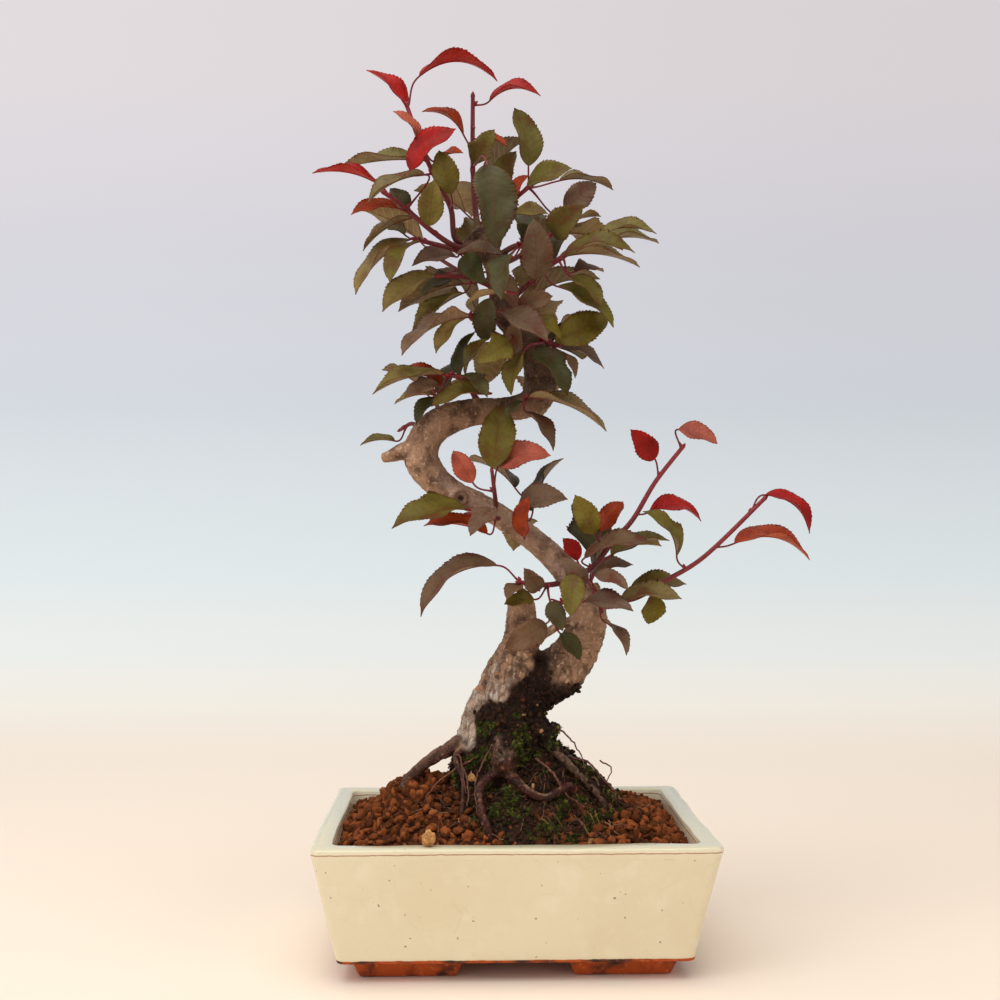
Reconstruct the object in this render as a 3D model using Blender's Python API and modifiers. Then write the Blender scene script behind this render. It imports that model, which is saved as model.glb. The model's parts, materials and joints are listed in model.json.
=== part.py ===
# Apple bonsai in a glazed rectangular pot. Metres, +Z up, front towards -Y.
# The origin is on the surface that the pot's feet stand on, below the middle of the whole plant.
# Everything is set out about the pot's centre first, and moved to that origin at the end.
# Sizes written in the tables below are millimetres.

import random
from math import acos, cos, exp, hypot, pi, radians, sin

import bmesh
import bpy
from mathutils import Matrix, Vector
from mathutils.bvhtree import BVHTree

MM = 0.001
GAP = 0.0003
PLANT_MIDDLE = Vector((0.0212, 0.0034, 0.0))

# Pot
RIM_SIZE = (0.1525, 0.114)
BASE_SIZE = (0.1335, 0.0955)
RIM_HEIGHT = 0.0515
FOOT_HEIGHT = 0.0073
WALL = 0.0075
FLOOR = 0.006
CORNER = 0.0035
LIP = 0.0014
FOOT_TOP = (0.0445, 0.016)
FOOT_BOTTOM = (0.0365, 0.010)
FOOT_CENTRE = (0.0405, 0.0345)
DRAIN_RADIUS = 0.006
DRAIN_X = 0.030
SCREEN_SIZE = 0.020
SCREEN_THICK = 0.001
SCREEN_HOLE = 0.0060
SCREEN_PITCH = 0.0085

# Soil and root mound
SOIL_LEVEL = 0.0462
SOIL_CELLS = (23, 15)
GRAIN_RELIEF = 0.0011
SOIL_DOME = 0.0115
HEAPS = (((-0.030, 0.000), 0.008, 0.014), ((0.050, 0.004), 0.002, 0.012))
MOUND_CENTRE = (0.009, -0.003)
MOUND_RADII = (0.044, 0.0425)
MOUND_FOOT = 0.030
MOUND_EDGE = 0.048
MOUND_RISE = 0.038
MOUND_GROW = 0.0006

# Tree
EYE = Vector((-0.020, -0.519, 0.1675))
TRUNK_SIDES = 10
TRUNK_GROW = 0.0007
BARK_SWELL = 0.0006
COLLAR_OVER_TWIG = 1.35
COLLAR_FLARE = 1.5
COLLAR_SIDES = 4
CLEAR_OF_BARK = 0.0024
TWIG_SIDES = 4
TWIG_LEAD = 0.0015
TWIG_STRIDE = 4
SHORT_TWIG_RADIUS = 0.0009
TWIG_RADIUS = 0.0011
FAR_TWIG_RADIUS = 0.0010
TWIG_TAPER = (1.15, 0.35)
BLADE_THICK = 0.0007
WIDEST_LEAF = 0.019
SLIMMEST_LEAF = 0.008
LEAF_PROPORTION = 0.6
STALK_HALF = 0.00055
STALK_LENGTH = 0.008
LONG_STALK = 0.016
TOOTHED_LENGTH = 0.026
TOOTH_SPAN = {2: (0.26, 0.40), 3: (0.17, 0.57)}
FAR_LEAF_LENGTH = (0.023, 0.032)
BEND_COST = 0.007
CLEARANCE = 0.0009
SEED = 11

# Places in the tree tables are (x, z, depth): x and z as they look on the tree's middle plane
# from EYE, slid along that line of sight to their depth (y). Trunk rows end in a radius.
TRUNK = [
    (-5, 50, 0, 20.5), (-5, 66, 0, 20.2), (-4, 83, 0, 18), (-2, 93, 0, 16), (3, 101, 0, 13.5), (11, 106, -1, 11.5),
    (19, 109, -2, 10.3), (25, 116, -2, 9.3), (30, 125, -2, 8.2), (32, 134, -1, 7.2),
    (27, 143, 0, 6.4), (21, 152, 1, 5.6), (12, 161, 2, 5.1), (0, 170, 2, 4.9), (-13, 178, 1, 4.9),
    (-24, 183, 0, 5.3), (-33, 190, 0, 6.6), (-37, 198, 1, 7.2), (-34, 207, 2, 7), (-26, 213, 3, 6.8),
    (-15, 216, 3, 5.7), (-3, 217, 2, 5.1), (6, 219, 0, 5.7), (11, 223, -1, 7), (12, 231, -1, 7),
    (9, 240, 0, 6.1), (3, 249, 1, 5.5), (-3, 256, 1, 4.9), (-5, 266, 0, 4.7), (-7, 277, 0, 4.5),
    (-11, 284, 0, 5.7), (-15, 290, 0, 5.1),
]
LIMBS = {
    "left_fork": (10, [(-1, 100, -2, 13), (0, 108, -3, 11.2), (2, 115, -3, 9.4), (4, 124, -3, 7.4),
                       (4, 133, -2, 6.4), (4, 138, -2, 5.6)]),
    "fork_twig": (6, [(8, 121, -3, 2), (17, 127, -5, 1.8), (25, 131, -5, 1.8), (31, 135, -3, 2)]),
    "elbow_stub": (8, [(-38, 200, 1, 5), (-44, 200, 1, 3.8), (-49, 198, 2, 2.8), (-53, 197, 2, 2)]),
    "base_burl": (6, [(5, 88, -5, 8), (11, 86, -8, 5.6), (15, 85, -9, 3.8), (18, 88, -9, 1.8)]),
    "dead_tip": (6, [(13, 103, -6, 6), (20, 102, -9, 3.4), (24, 101, -10, 1.6)]),
    "front_knob": (8, [(-3, 82, -13, 6), (-3, 75, -20, 5.4), (-3, 70, -24, 4.6)]),
    "front_root_left": (6, [(-3, 71, -19, 3), (-9, 67, -24, 2), (-13, 62, -28, 1.8),
                            (-13, 54, -33, 1.8), (-10, 46, -37, 1.8), (-8, 38, -39, 1.7)]),
    "front_root_right": (6, [(-2, 69, -20, 2.6), (3, 64, -27, 1.9), (8, 60, -31, 1.7),
                             (14, 58, -32, 1.6), (20, 61, -31, 1.5), (24, 63, -28, 1.4), (25, 56, -24, 1.3)]),
    "left_root": (6, [(-16, 82, -4, 5), (-24, 79, -8, 3.4), (-33, 74, -10, 2.5), (-42, 66, -12, 2.2),
                      (-46, 57, -14, 2), (-48, 46, -15, 1.8)]),
    "left_rootlet": (6, [(-19, 79, -8, 2), (-23, 75, -16, 1.2), (-20, 66, -23, 1), (-20, 57, -27, 1),
                         (-21, 44, -29, 1)]),
    "right_rootlet": (6, [(13, 82, -8, 2.6), (19, 76, -15, 1.7), (27, 68, -20, 1.4), (36, 58, -23, 1.2),
                          (40, 48, -24, 1.1)]),
    "right_root": (6, [(12, 78, 4, 6), (24, 72, 6, 3.6), (34, 64, 8, 2.8), (42, 54, 9, 2.2),
                       (46, 44, 10, 2)]),
    "back_root": (6, [(-4, 76, 14, 7), (-6, 68, 22, 4.4), (-10, 58, 29, 3), (-13, 44, 35, 2.4)]),
}

# Leaf rows are (base x, base z, tip x, tip z, depth, lean, seen width, tone, arch): the depth is
# that of the blade's base, the lean is how much deeper its tip lies, and the arch is the
# height of its bow over its length.
USUAL_ARCH = 0.10
SPRAYS = {
    "shoot_top_left": {
        "twig": [(-14, 285, 0), (-23, 287, -4), (-25, 300, -8), (-31, 312, -10), (-37, 325, -10), (-43, 342, -8)],
        "leaves": [
            (-43, 341, -60, 357, -8, -2, 7, "red"),
            (-38, 355, -6, 353, -9, 5, 5, "red", 0.21),
            (-38, 329, -49, 340, -12, -4, 5, "pink"),
            (-42, 316, -23, 333, -16, 2, 12, "red"),
            (-31, 320, -20, 323, -9, -6, 4, "orange"),
            (-37, 320, -73, 315, -14, -6, 6, "olive", 0.05),
            (-25, 306, -30, 324, -18, 0, 16, "olive"),
        ],
    },
    "shoot_leader": {
        "twig": [(-13, 287, 0), (-15, 299, 3), (-16, 319, 3), (-16, 346, 3)],
        "leaves": [
            (-9, 345, 12, 347, 3, -3, 7, "red", 0.2),
            (-20, 331, -37, 340, 1, -3, 6, "orange", 0.18),
            (-16, 319, -7, 333, -4, -4, 12, "olive"),
            (-14, 329, -2, 326, 0, -6, 5, "orange"),
            (-10, 318, -7, 284, -24, -4, 18, "green"),
            (-6, 307, 2, 324, 5, -4, 10, "olive"),
        ],
    },
    "spray_crown_right": {
        "twig": [(-11, 285, 0), (-5, 296, 4), (0, 303, 4), (7, 309, 4)],
        "leaves": [
            (7, 318, 1, 342, 2, -2, 12, "olive"),
            (7, 310, 25, 317, -2, -6, 10, "olive"),
            (-1, 303, 7, 314, -6, -4, 6, "orange"),
            (20, 312, 42, 308, 14, 8, 4, "beige"),
            (22, 300, 35, 311, 14, 4, 12, "mauve"),
            (0, 297, 15, 298, -10, -6, 7, "olive"),
        ],
    },
    "shoot_crown_left": {
        "twig": [(-14, 285, 0), (-22, 284, -8), (-32, 290, -14), (-45, 301, -16), (-52, 306, -16)],
        "leaves": [
            (-55, 310, -82, 314, -16, -4, 5, "red"),
            (-36, 314, -59, 302, -22, -6, 7, "beige"),
            (-47, 300, -66, 297, -18, -4, 7, "orange"),
            (-43, 299, -50, 308, -10, 4, 7, "green"),
            (-34, 293, -32, 312, -20, -6, 14, "olive"),
            (-41, 296, -61, 282, -10, 4, 4, "beige"),
        ],
    },
    "spray_upper_right": {
        "twig": [(-8, 278, 0), (0, 284, -6), (10, 287, -11), (17, 290, -13)],
        "leaves": [
            (17, 290, 30, 302, -18, -16, 17, "olive"),
            (18, 290, 37, 297, -10, 8, 4, "beige"),
            (-3, 280, -23, 281, -16, -4, 6, "brown"),
            (8, 287, 2, 294, -16, -8, 8, "green"),
            (-1, 281, -4, 262, -19, -4, 10, "green"),
        ],
    },
    "shoot_right": {
        "twig": [(-5, 262, 0), (0, 263, -4), (15, 276, -9), (27, 284, -9), (35, 287, -9)],
        "leaves": [
            (38, 291, 60, 290, -9, 2, 7, "olive"),
            (36, 286, 61, 286, -4, 8, 7, "olive"),
            (22, 280, 51, 282, -16, -2, 9, "olive", 0.17),
            (20, 280, 53, 276, -3, 6, 6, "beige"),
            (10, 271, 9, 296, -18, -4, 14, "brown"),
            (25, 272, 37, 260, -14, -5, 8, "olive"),
            (26, 274, 38, 274, 2, 8, 5, "mauve"),
            (19, 268, 42, 251, -10, -3, 10, "olive"),
        ],
    },
    "spray_left_upper": {
        "twig": [(-9, 279, 0), (-20, 282, -3), (-31, 285, -5), (-39, 287, -6)],
        "leaves": [
            (-42, 287, -64, 264, -8, -3, 8, "beige"),
            (-39, 286, -50, 269, -14, -5, 9, "olive"),
            (-44, 289, -54, 292, 0, 6, 5, "olive"),
            (-23, 280, -41, 276, -14, -6, 8, "mauve"),
            (-20, 280, -11, 269, -12, -8, 10, "green"),
        ],
    },
    "spray_left_mid": {
        "twig": [(-6, 268, 0), (-15, 271, -4), (-23, 272, -7), (-30, 272, -9)],
        "leaves": [
            (-32, 272, -53, 257, -10, -5, 11, "beige"),
            (-24, 271, -37, 264, -2, 8, 7, "green"),
            (-2, 265, -19, 260, -16, -6, 5, "beige"),
            (-9, 263, -11, 245, -10, -4, 11, "green"),
            (-20, 265, -42, 243, 0, 4, 6, "olive"),
            (-9, 273, 2, 258, -18, -4, 10, "brown"),
        ],
    },
    "spray_left_low": {
        "twig": [(-2, 255, 0), (-9, 256, -6), (-18, 256, -9)],
        "leaves": [
            (-18, 255, -45, 239, -13, -6, 6, "mauve"),
            (-19, 255, -31, 240, -5, 0, 7, "beige"),
            (-1, 245, -14, 236, -19, -8, 12, "olive"),
        ],
    },
    "spray_centre_right": {
        "twig": [(-3, 259, 0), (2, 260, -8), (8, 257, -12)],
        "leaves": [
            (-4, 257, 15, 245, -19, -5, 11, "mauve"),
            (3, 260, 17, 264, -16, -8, 11, "brown"),
            (10, 255, 20, 246, -12, -2, 6, "olive"),
            (4, 254, 3, 234, -18, -3, 9, "brown"),
        ],
    },
    "spray_right_mid": {
        "twig": [(5, 246, 0), (11, 246, -6), (18, 244, -8)],
        "leaves": [
            (18, 245, 40, 255, -10, -5, 14, "olive"),
            (19, 243, 38, 234, -2, 6, 7, "mauve"),
            (20, 241, 26, 230, -10, -3, 4, "brown"),
            (9, 242, 23, 223, -14, -5, 11, "green"),
            (18, 243, 33, 238, 3, 8, 9, "olive"),
            (5, 241, 0, 223, -15, -2, 7, "olive"),
        ],
    },
    "spray_elbow_right": {
        "twig": [(10, 225, 0), (7, 223, -9), (5, 220, -13)],
        "leaves": [
            (7, 222, 39, 208, -9, 8, 5, "beige"),
            (6, 216, 17, 200, -12, -3, 6, "brown"),
            (5, 220, -2, 213, -15, -5, 5, "green"),
        ],
    },
    "spray_elbow_left": {
        "twig": [(-12, 216, 3), (-16, 224, -5), (-20, 230, -9), (-26, 231, -11)],
        "leaves": [
            (-27, 231, -57, 223, -10, -5, 6, "olive"),
            (-29, 227, -46, 233, -1, 8, 7, "orange"),
            (-30, 227, -44, 222, -16, -5, 7, "mauve"),
            (-10, 224, -33, 218, -17, -5, 8, "olive"),
            (-32, 223, -48, 219, 2, 6, 4, "beige"),
            (-32, 222, -39, 211, -10, -3, 6, "green"),
            (-20, 231, -10, 222, -16, -8, 7, "green"),
            (-21, 231, -15, 249, -3, 3, 6, "green"),
            (-19, 232, -10, 246, -8, -3, 5, "olive"),
        ],
    },
    "spray_elbow_tip": {
        "twig": [(-35, 204, 2), (-40, 211, 10), (-45, 209, 14)],
        "leaves": [
            (-48, 204, -62, 202, 13, 3, 3, "olive"),
        ],
    },
    "shoot_front": {
        "twig": [(-6, 174, 0), (-7, 183, -12), (-8, 191, -15)],
        "leaves": [
            (-8, 193, -4, 219, -17, 2, 18, "olive"),
            (-5, 194, 16, 198, -13, -6, 11, "pink", 0.2),
            (-16, 187, -24, 200, -11, 2, 11, "pink"),
        ],
    },
    "spray_run_left": {
        "twig": [(-1, 171, 0), (-9, 173, -9), (-17, 174, -12)],
        "leaves": [
            (-19, 176, -49, 168, -13, -4, 10, "olive"),
            (-8, 176, -17, 165, -17, -8, 8, "mauve"),
            (-10, 166, -36, 169, -9, 5, 6, "orange"),
        ],
    },
    "spray_run_right": {
        "twig": [(7, 165, 0), (5, 170, -9), (4, 175, -12)],
        "leaves": [
            (3, 177, 23, 180, -12, -4, 10, "mauve", 0.22),
            (5, 165, 7, 181, -16, -5, 7, "orange"),
        ],
    },
    "shoot_long_left": {
        "twig": [(24, 147, 0), (15, 145, -10), (4, 146, -15)],
        "leaves": [
            (-6, 153, -37, 132, -17, -2, 7, "brown", 0.2),
            (11, 143, 5, 152, -19, -8, 10, "mauve"),
            (4, 145, -2, 139, -15, -5, 5, "brown"),
            (9, 139, -3, 137, -12, -3, 6, "olive"),
            (14, 129, -3, 119, -19, -5, 12, "brown"),
        ],
    },
    "spray_fork_front": {
        "twig": [(30, 139, 0), (25, 140, -12), (20, 137, -16)],
        "leaves": [
            (16, 138, 21, 126, -21, -5, 10, "green"),
            (20, 125, 28, 114, -16, -3, 7, "green"),
            (25, 149, 24, 132, -24, -7, 14, "olive"),
            (30, 145, 21, 156, -18, -5, 11, "mauve"),
        ],
    },
    "shoot_lower_right_tall": {
        "twig": [(24, 148, 0), (33, 152, -5), (41, 162, -8), (50, 172, -9), (59, 187, -9), (70, 201, -9)],
        "leaves": [
            (34, 166, 26, 182, -12, -3, 12, "olive"),
            (37, 167, 46, 179, 2, 5, 8, "orange"),
            (59, 197, 49, 209, -9, -6, 11, "red"),
            (69, 209, 85, 203, -10, -4, 8, "pink"),
            (57, 175, 78, 171, -5, 3, 6, "red", 0.21),
            (30, 156, 58, 162, -12, -4, 6, "brown"),
            (41, 157, 65, 163, 0, 5, 5, "olive"),
            (34, 149, 50, 153, 4, 5, 5, "mauve"),
        ],
    },
    "shoot_lower_right_long": {
        "twig": [(32, 135, 0), (43, 138, -4), (52, 140, -6), (64, 147, -7), (80, 157, -8), (104, 180, -9)],
        "leaves": [
            (105, 182, 123, 166, -9, -3, 7, "red", 0.21),
            (92, 162, 123, 155, -7, 3, 5, "orange", 0.19),
            (68, 157, 54, 175, -12, -4, 7, "olive", 0.18),
            (45, 139, 70, 139, -12, -5, 7, "beige"),
            (49, 141, 72, 145, 0, 6, 7, "olive"),
            (58, 141, 56, 129, -11, -14, 16, "olive"),
        ],
    },
    "spray_lower_right": {
        "twig": [(33, 127, 0), (37, 133, -10), (35, 141, -14)],
        "leaves": [
            (27, 155, 21, 164, -6, 2, 7, "red"),
            (34, 149, 48, 143, -17, -5, 6, "mauve"),
            (30, 138, 50, 134, -18, -6, 7, "mauve"),
            (38, 130, 47, 116, -12, -2, 5, "brown"),
        ],
    },
}

# Sprays on the far side follow a rule: (x, z of the start, run in x, in depth and in z, leaves).
FAR_SPRAYS = {
    "far_spray_low": (28, 141, 8, 24, 14, 4),
    "far_spray_run": (6, 166, 0, 24, 14, 3),
    "far_spray_elbow": (-28, 212, -4, 24, 12, 4),
    "far_spray_bend": (12, 229, -2, 24, 12, 4),
    "far_spray_mid_left": (6, 244, -22, 26, 10, 4),
    "far_spray_mid_right": (-4, 258, 20, 23, 12, 3),
    "far_spray_upper_left": (-5, 268, -26, 22, 12, 4),
    "far_spray_upper_right": (-7, 276, 22, 26, 14, 4),
    "far_spray_crown": (-12, 286, -4, 24, 26, 4),
}
GOLDEN_TURN = radians(137.5)

TONES = {
    "red": (0.34, 0.03, 0.03), "orange": (0.45, 0.12, 0.05), "pink": (0.42, 0.14, 0.12),
    "olive": (0.13, 0.13, 0.04), "green": (0.05, 0.08, 0.03), "beige": (0.22, 0.19, 0.09),
    "mauve": (0.17, 0.09, 0.07), "brown": (0.14, 0.07, 0.04),
}


def clearScene():
    for item in list(bpy.data.objects):
        bpy.data.objects.remove(item)


def makeCollection(name):
    collection = bpy.data.collections.new(name)
    bpy.context.scene.collection.children.link(collection)
    return collection


def makeMaterial(name, colour, roughness, metallic=0.0):
    material = bpy.data.materials.new(name)
    material.use_nodes = True
    shader = material.node_tree.nodes["Principled BSDF"]
    shader.inputs["Base Color"].default_value = (*colour, 1.0)
    shader.inputs["Roughness"].default_value = roughness
    shader.inputs["Metallic"].default_value = metallic
    return material


def dress(item, material):
    item.data.materials.clear()
    item.data.materials.append(material)


def meshObject(name, work, collection):
    mesh = bpy.data.meshes.new(name)
    bmesh.ops.recalc_face_normals(work, faces=work.faces)
    work.to_mesh(mesh)
    work.free()
    item = bpy.data.objects.new(name, mesh)
    collection.objects.link(item)
    return item


def place(x, z, depth):
    seen = Vector((x * MM, 0.0, z * MM))
    share = (depth * MM - EYE.y) / -EYE.y
    return EYE + (seen - EYE) * share


def smoothRows(rows, steps):
    # Catmull-Rom through rows of numbers, steps to a span
    ends = [rows[0], *rows, rows[-1]]
    result = []
    for a, b, c, d in zip(ends, ends[1:], ends[2:], ends[3:]):
        for step in range(steps):
            t = step / steps
            result.append(tuple(
                0.5 * (2 * q + (r - p) * t + (2 * p - 5 * q + 4 * r - s) * t * t
                       + (3 * q - p - 3 * r + s) * t ** 3)
                for p, q, r, s in zip(a, b, c, d)
            ))
    result.append(rows[-1])
    return result


def freezeObject(item):
    # Replaces an object's mesh with its evaluated one, so its modifiers can go
    bpy.context.view_layer.update()
    depsgraph = bpy.context.evaluated_depsgraph_get()
    mesh = bpy.data.meshes.new_from_object(item.evaluated_get(depsgraph))
    item.modifiers.clear()
    item.data = mesh


def weldCaps(mesh):
    work = bmesh.new()
    work.from_mesh(mesh)
    bmesh.ops.remove_doubles(work, verts=work.verts, dist=1e-6)
    bmesh.ops.recalc_face_normals(work, faces=work.faces)
    work.to_mesh(mesh)
    work.free()


def tube(name, points, radii, sides, collection):
    curve = bpy.data.curves.new(name, "CURVE")
    curve.dimensions = "3D"
    curve.bevel_depth = 1.0
    curve.bevel_resolution = (sides - 4) // 2
    curve.use_fill_caps = True
    spline = curve.splines.new("POLY")
    spline.points.add(len(points) - 1)
    for point, spot, radius in zip(spline.points, points, radii):
        point.co = (*spot, 1.0)
        point.radius = radius
    guide = bpy.data.objects.new(name + "_curve", curve)
    collection.objects.link(guide)
    bpy.context.view_layer.update()
    depsgraph = bpy.context.evaluated_depsgraph_get()
    mesh = bpy.data.meshes.new_from_object(guide.evaluated_get(depsgraph))
    bpy.data.objects.remove(guide)
    weldCaps(mesh)
    item = bpy.data.objects.new(name, mesh)
    collection.objects.link(item)
    return item


def joinAll(item, others):
    # One Boolean union of an object with a collection, applied, and the collection emptied
    union = item.modifiers.new("Union", "BOOLEAN")
    union.operation = "UNION"
    union.operand_type = "COLLECTION"
    union.collection = others
    union.solver = "MANIFOLD"
    freezeObject(item)
    for other in list(others.objects):
        bpy.data.objects.remove(other)
    bpy.data.collections.remove(others)


def cutWith(item, cutter, solver="EXACT"):
    cut = item.modifiers.new("Cut " + cutter.name, "BOOLEAN")
    cut.operation = "DIFFERENCE"
    cut.object = cutter
    cut.solver = solver
    cutter.hide_render = True
    cutter.display_type = "WIRE"


def keepLargest(item):
    # Drops crumbs that a cut has set loose, and fills hollows that a union has sealed
    work = bmesh.new()
    work.from_mesh(item.data)
    work.verts.ensure_lookup_table()
    unseen = set(work.verts)
    bodies = []
    while unseen:
        body = set()
        edge = [unseen.pop()]
        while edge:
            vertex = edge.pop()
            body.add(vertex)
            for link in vertex.link_edges:
                other = link.other_vert(vertex)
                if other in unseen:
                    unseen.remove(other)
                    edge.append(other)
        bodies.append(body)
    bodies.sort(key=len)
    for body in bodies[:-1]:
        bmesh.ops.delete(work, geom=list(body), context="VERTS")
    work.to_mesh(item.data)
    work.free()


def taperedBlock(name, bottom, top, low, high, corner, collection, lip=0.0):
    # A box that widens upwards, with rounded upright edges and, with a lip, a bevelled top edge
    work = bmesh.new()
    bmesh.ops.create_cube(work, size=1.0)
    for vertex in work.verts:
        size, level = (top, high) if vertex.co.z > 0 else (bottom, low)
        vertex.co = Vector((vertex.co.x * size[0], vertex.co.y * size[1], level))
    upright = [edge for edge in work.edges if abs(edge.verts[0].co.z - edge.verts[1].co.z) > 1e-4]
    if corner:
        bmesh.ops.bevel(work, geom=upright, offset=corner, segments=3, profile=0.5, affect="EDGES")
    if lip:
        crest = [edge for edge in work.edges if all(abs(v.co.z - high) < 1e-6 for v in edge.verts)]
        bmesh.ops.bevel(work, geom=crest, offset=lip, segments=2, profile=0.5, affect="EDGES")
    return meshObject(name, work, collection)


def drum(name, radius, centre, height, collection, sides=20):
    work = bmesh.new()
    bmesh.ops.create_cone(work, cap_ends=True, segments=sides, radius1=radius, radius2=radius, depth=height,
                          matrix=Matrix.Translation(centre))
    return meshObject(name, work, collection)


def innerSize(level):
    # Size of the pot's inside at a height: parallel to the outer walls
    share = (level - FOOT_HEIGHT) / (RIM_HEIGHT - FOOT_HEIGHT)
    return tuple(low + (high - low) * share - 2 * WALL for low, high in zip(BASE_SIZE, RIM_SIZE))


def makePot(parts, cutters):
    pot = taperedBlock("pot", BASE_SIZE, RIM_SIZE, FOOT_HEIGHT, RIM_HEIGHT, CORNER, parts, LIP)
    feet = makeCollection("pot_feet")
    sunk = FOOT_HEIGHT + 0.002
    for sideX in (-1, 1):
        for sideY in (-1, 1):
            foot = taperedBlock("foot", FOOT_BOTTOM, FOOT_TOP, 0.0, sunk, 0.0015, feet)
            foot.location = (sideX * FOOT_CENTRE[0], sideY * FOOT_CENTRE[1], 0.0)
    joinAll(pot, feet)
    floor = FOOT_HEIGHT + FLOOR
    above = RIM_HEIGHT + 0.010
    hollow = taperedBlock("pot_hollow", innerSize(floor), innerSize(above), floor, above, CORNER, cutters)
    cutWith(pot, hollow)
    for side in (-1, 1):
        hole = drum("drain_hole", DRAIN_RADIUS, (side * DRAIN_X, 0.0, FOOT_HEIGHT), 4 * FLOOR, cutters)
        cutWith(pot, hole)
    dress(pot, makeMaterial("ivory_glaze", (0.72, 0.66, 0.50), 0.22))
    return pot


def makeScreens(parts, cutters):
    plastic = makeMaterial("screen_plastic", (0.03, 0.03, 0.03), 0.6)
    low = FOOT_HEIGHT + FLOOR + GAP
    size = (SCREEN_SIZE, SCREEN_SIZE)
    for name, side in (("drain_screen_left", -1), ("drain_screen_right", 1)):
        screen = taperedBlock(name, size, size, low, low + SCREEN_THICK, 0.0, parts)
        screen.location.x = side * DRAIN_X
        hole = (SCREEN_HOLE, SCREEN_HOLE)
        punch = taperedBlock(name + "_punch", hole, hole, low - MM, low + SCREEN_THICK + MM, 0.0, cutters)
        punch.location = (side * DRAIN_X - SCREEN_PITCH / 2, -SCREEN_PITCH / 2, 0.0)
        for axis in range(2):
            array = punch.modifiers.new("Array", "ARRAY")
            array.count = 2
            array.use_relative_offset = False
            array.use_constant_offset = True
            array.constant_offset_displace = [SCREEN_PITCH if axis == i else 0.0 for i in range(3)]
        cutWith(screen, punch)
        dress(screen, plastic)


def soilHeight(x, y):
    top = innerSize(SOIL_LEVEL)
    crown = (1 - min(1.0, abs(2 * x / top[0])) ** 5) * (1 - min(1.0, abs(2 * y / top[1])) ** 3)
    height = SOIL_LEVEL + SOIL_DOME * crown
    for (heapX, heapY), rise, spread in HEAPS:
        height += crown * rise * exp(-((x - heapX) ** 2 + (y - heapY) ** 2) / (2 * spread ** 2))
    return height


def makeSoil(parts, cutters, hollows):
    draw = random.Random(SEED)
    top = innerSize(SOIL_LEVEL)
    floor = FOOT_HEIGHT + FLOOR + GAP
    bottom = innerSize(floor)
    work = bmesh.new()
    bmesh.ops.create_grid(work, x_segments=SOIL_CELLS[0], y_segments=SOIL_CELLS[1], size=0.5)
    for vertex in work.verts:
        gridX, gridY = vertex.co.x, vertex.co.y
        border = vertex.is_boundary
        inset = 0.0026 if abs(gridX) > 0.49 and abs(gridY) > 0.49 else 0.0012
        x = gridX * (top[0] - 2 * inset)
        y = gridY * (top[1] - 2 * inset)
        if not border:
            x += draw.uniform(-1, 1) * 0.35 * GRAIN_RELIEF
            y += draw.uniform(-1, 1) * 0.35 * GRAIN_RELIEF
        z = soilHeight(x, y) + (0.0 if border else draw.uniform(-1, 1) * GRAIN_RELIEF)
        vertex.co = Vector((x, y, z))
    rim = [edge for edge in work.edges if edge.is_boundary]
    skirt = bmesh.ops.extrude_edge_only(work, edges=rim)["geom"]
    lower = [item for item in skirt if isinstance(item, bmesh.types.BMVert)]
    shrink = [(low - 0.0024) / (high - 0.0024) for low, high in zip(bottom, top)]
    for vertex in lower:
        vertex.co = Vector((vertex.co.x * shrink[0], vertex.co.y * shrink[1], floor))
    bmesh.ops.holes_fill(work, edges=[edge for edge in work.edges if edge.is_boundary], sides=0)
    soil = meshObject("akadama_soil", work, parts)
    recess = (SCREEN_SIZE + 2 * GAP, SCREEN_SIZE + 2 * GAP)
    for side in (-1, 1):
        pocket = taperedBlock("screen_pocket", recess, recess, floor - MM, floor + SCREEN_THICK + GAP, 0.0, cutters)
        pocket.location.x = side * DRAIN_X
        cutWith(soil, pocket)
    for hollow in hollows:
        cutWith(soil, hollow, "MANIFOLD")
    freezeObject(soil)
    keepLargest(soil)
    dress(soil, makeMaterial("akadama", (0.19, 0.07, 0.035), 0.95))


def moundSolid(name, grow, collection):
    work = bmesh.new()
    bmesh.ops.create_uvsphere(work, u_segments=18, v_segments=10, radius=1.0)
    for vertex in work.verts:
        polar = acos(max(-1.0, min(1.0, vertex.co.z))) / (pi / 2)
        flat = hypot(vertex.co.x, vertex.co.y) or 1.0
        unitX, unitY = vertex.co.x / flat, vertex.co.y / flat
        if polar <= 1.0:
            reach = polar
            height = MOUND_EDGE + MOUND_RISE * (1 - polar) ** 0.8
        else:
            reach = 1.0 - 0.25 * (polar - 1.0) if polar < 1.99 else 0.0
            height = MOUND_EDGE + (MOUND_FOOT - MOUND_EDGE) * min(1.0, (polar - 1.0) * 1.6)
        x = MOUND_CENTRE[0] + unitX * reach * MOUND_RADII[0]
        y = MOUND_CENTRE[1] + unitY * reach * MOUND_RADII[1]
        lump = 0.0011 * (sin(x * 520 + 1.3) * sin(y * 470) + 0.6 * sin(x * 210 - y * 330))
        height += lump + grow if polar <= 1.0 else (lump if height > MOUND_FOOT + 0.004 else -grow)
        vertex.co = Vector((x + unitX * grow, y + unitY * grow, height))
    return meshObject(name, work, collection)


def trunkRows(rows, steps):
    return [(place(x, z, depth), radius * MM) for x, z, depth, radius in smoothRows(rows, steps)]


def swellBark(item):
    # Shallow lumps along the bark, by a formula of the place
    for vertex in item.data.vertices:
        x, y, z = vertex.co * 1000.0
        lump = sin(x * 0.55 + z * 0.31) + sin(y * 0.62 - z * 0.23 + 1.7) + sin(z * 0.47 + x * 0.2)
        vertex.co += vertex.normal * lump * BARK_SWELL * 0.5


def grownTube(name, rows, sides, grow, collection):
    spots, radii = zip(*trunkRows(rows, 1))
    first = spots[0] + (spots[0] - spots[1]).normalized() * grow
    last = spots[-1] + (spots[-1] - spots[-2]).normalized() * grow
    return tube(name, [first, *spots[1:-1], last], [radius + grow for radius in radii], sides, collection)


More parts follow.
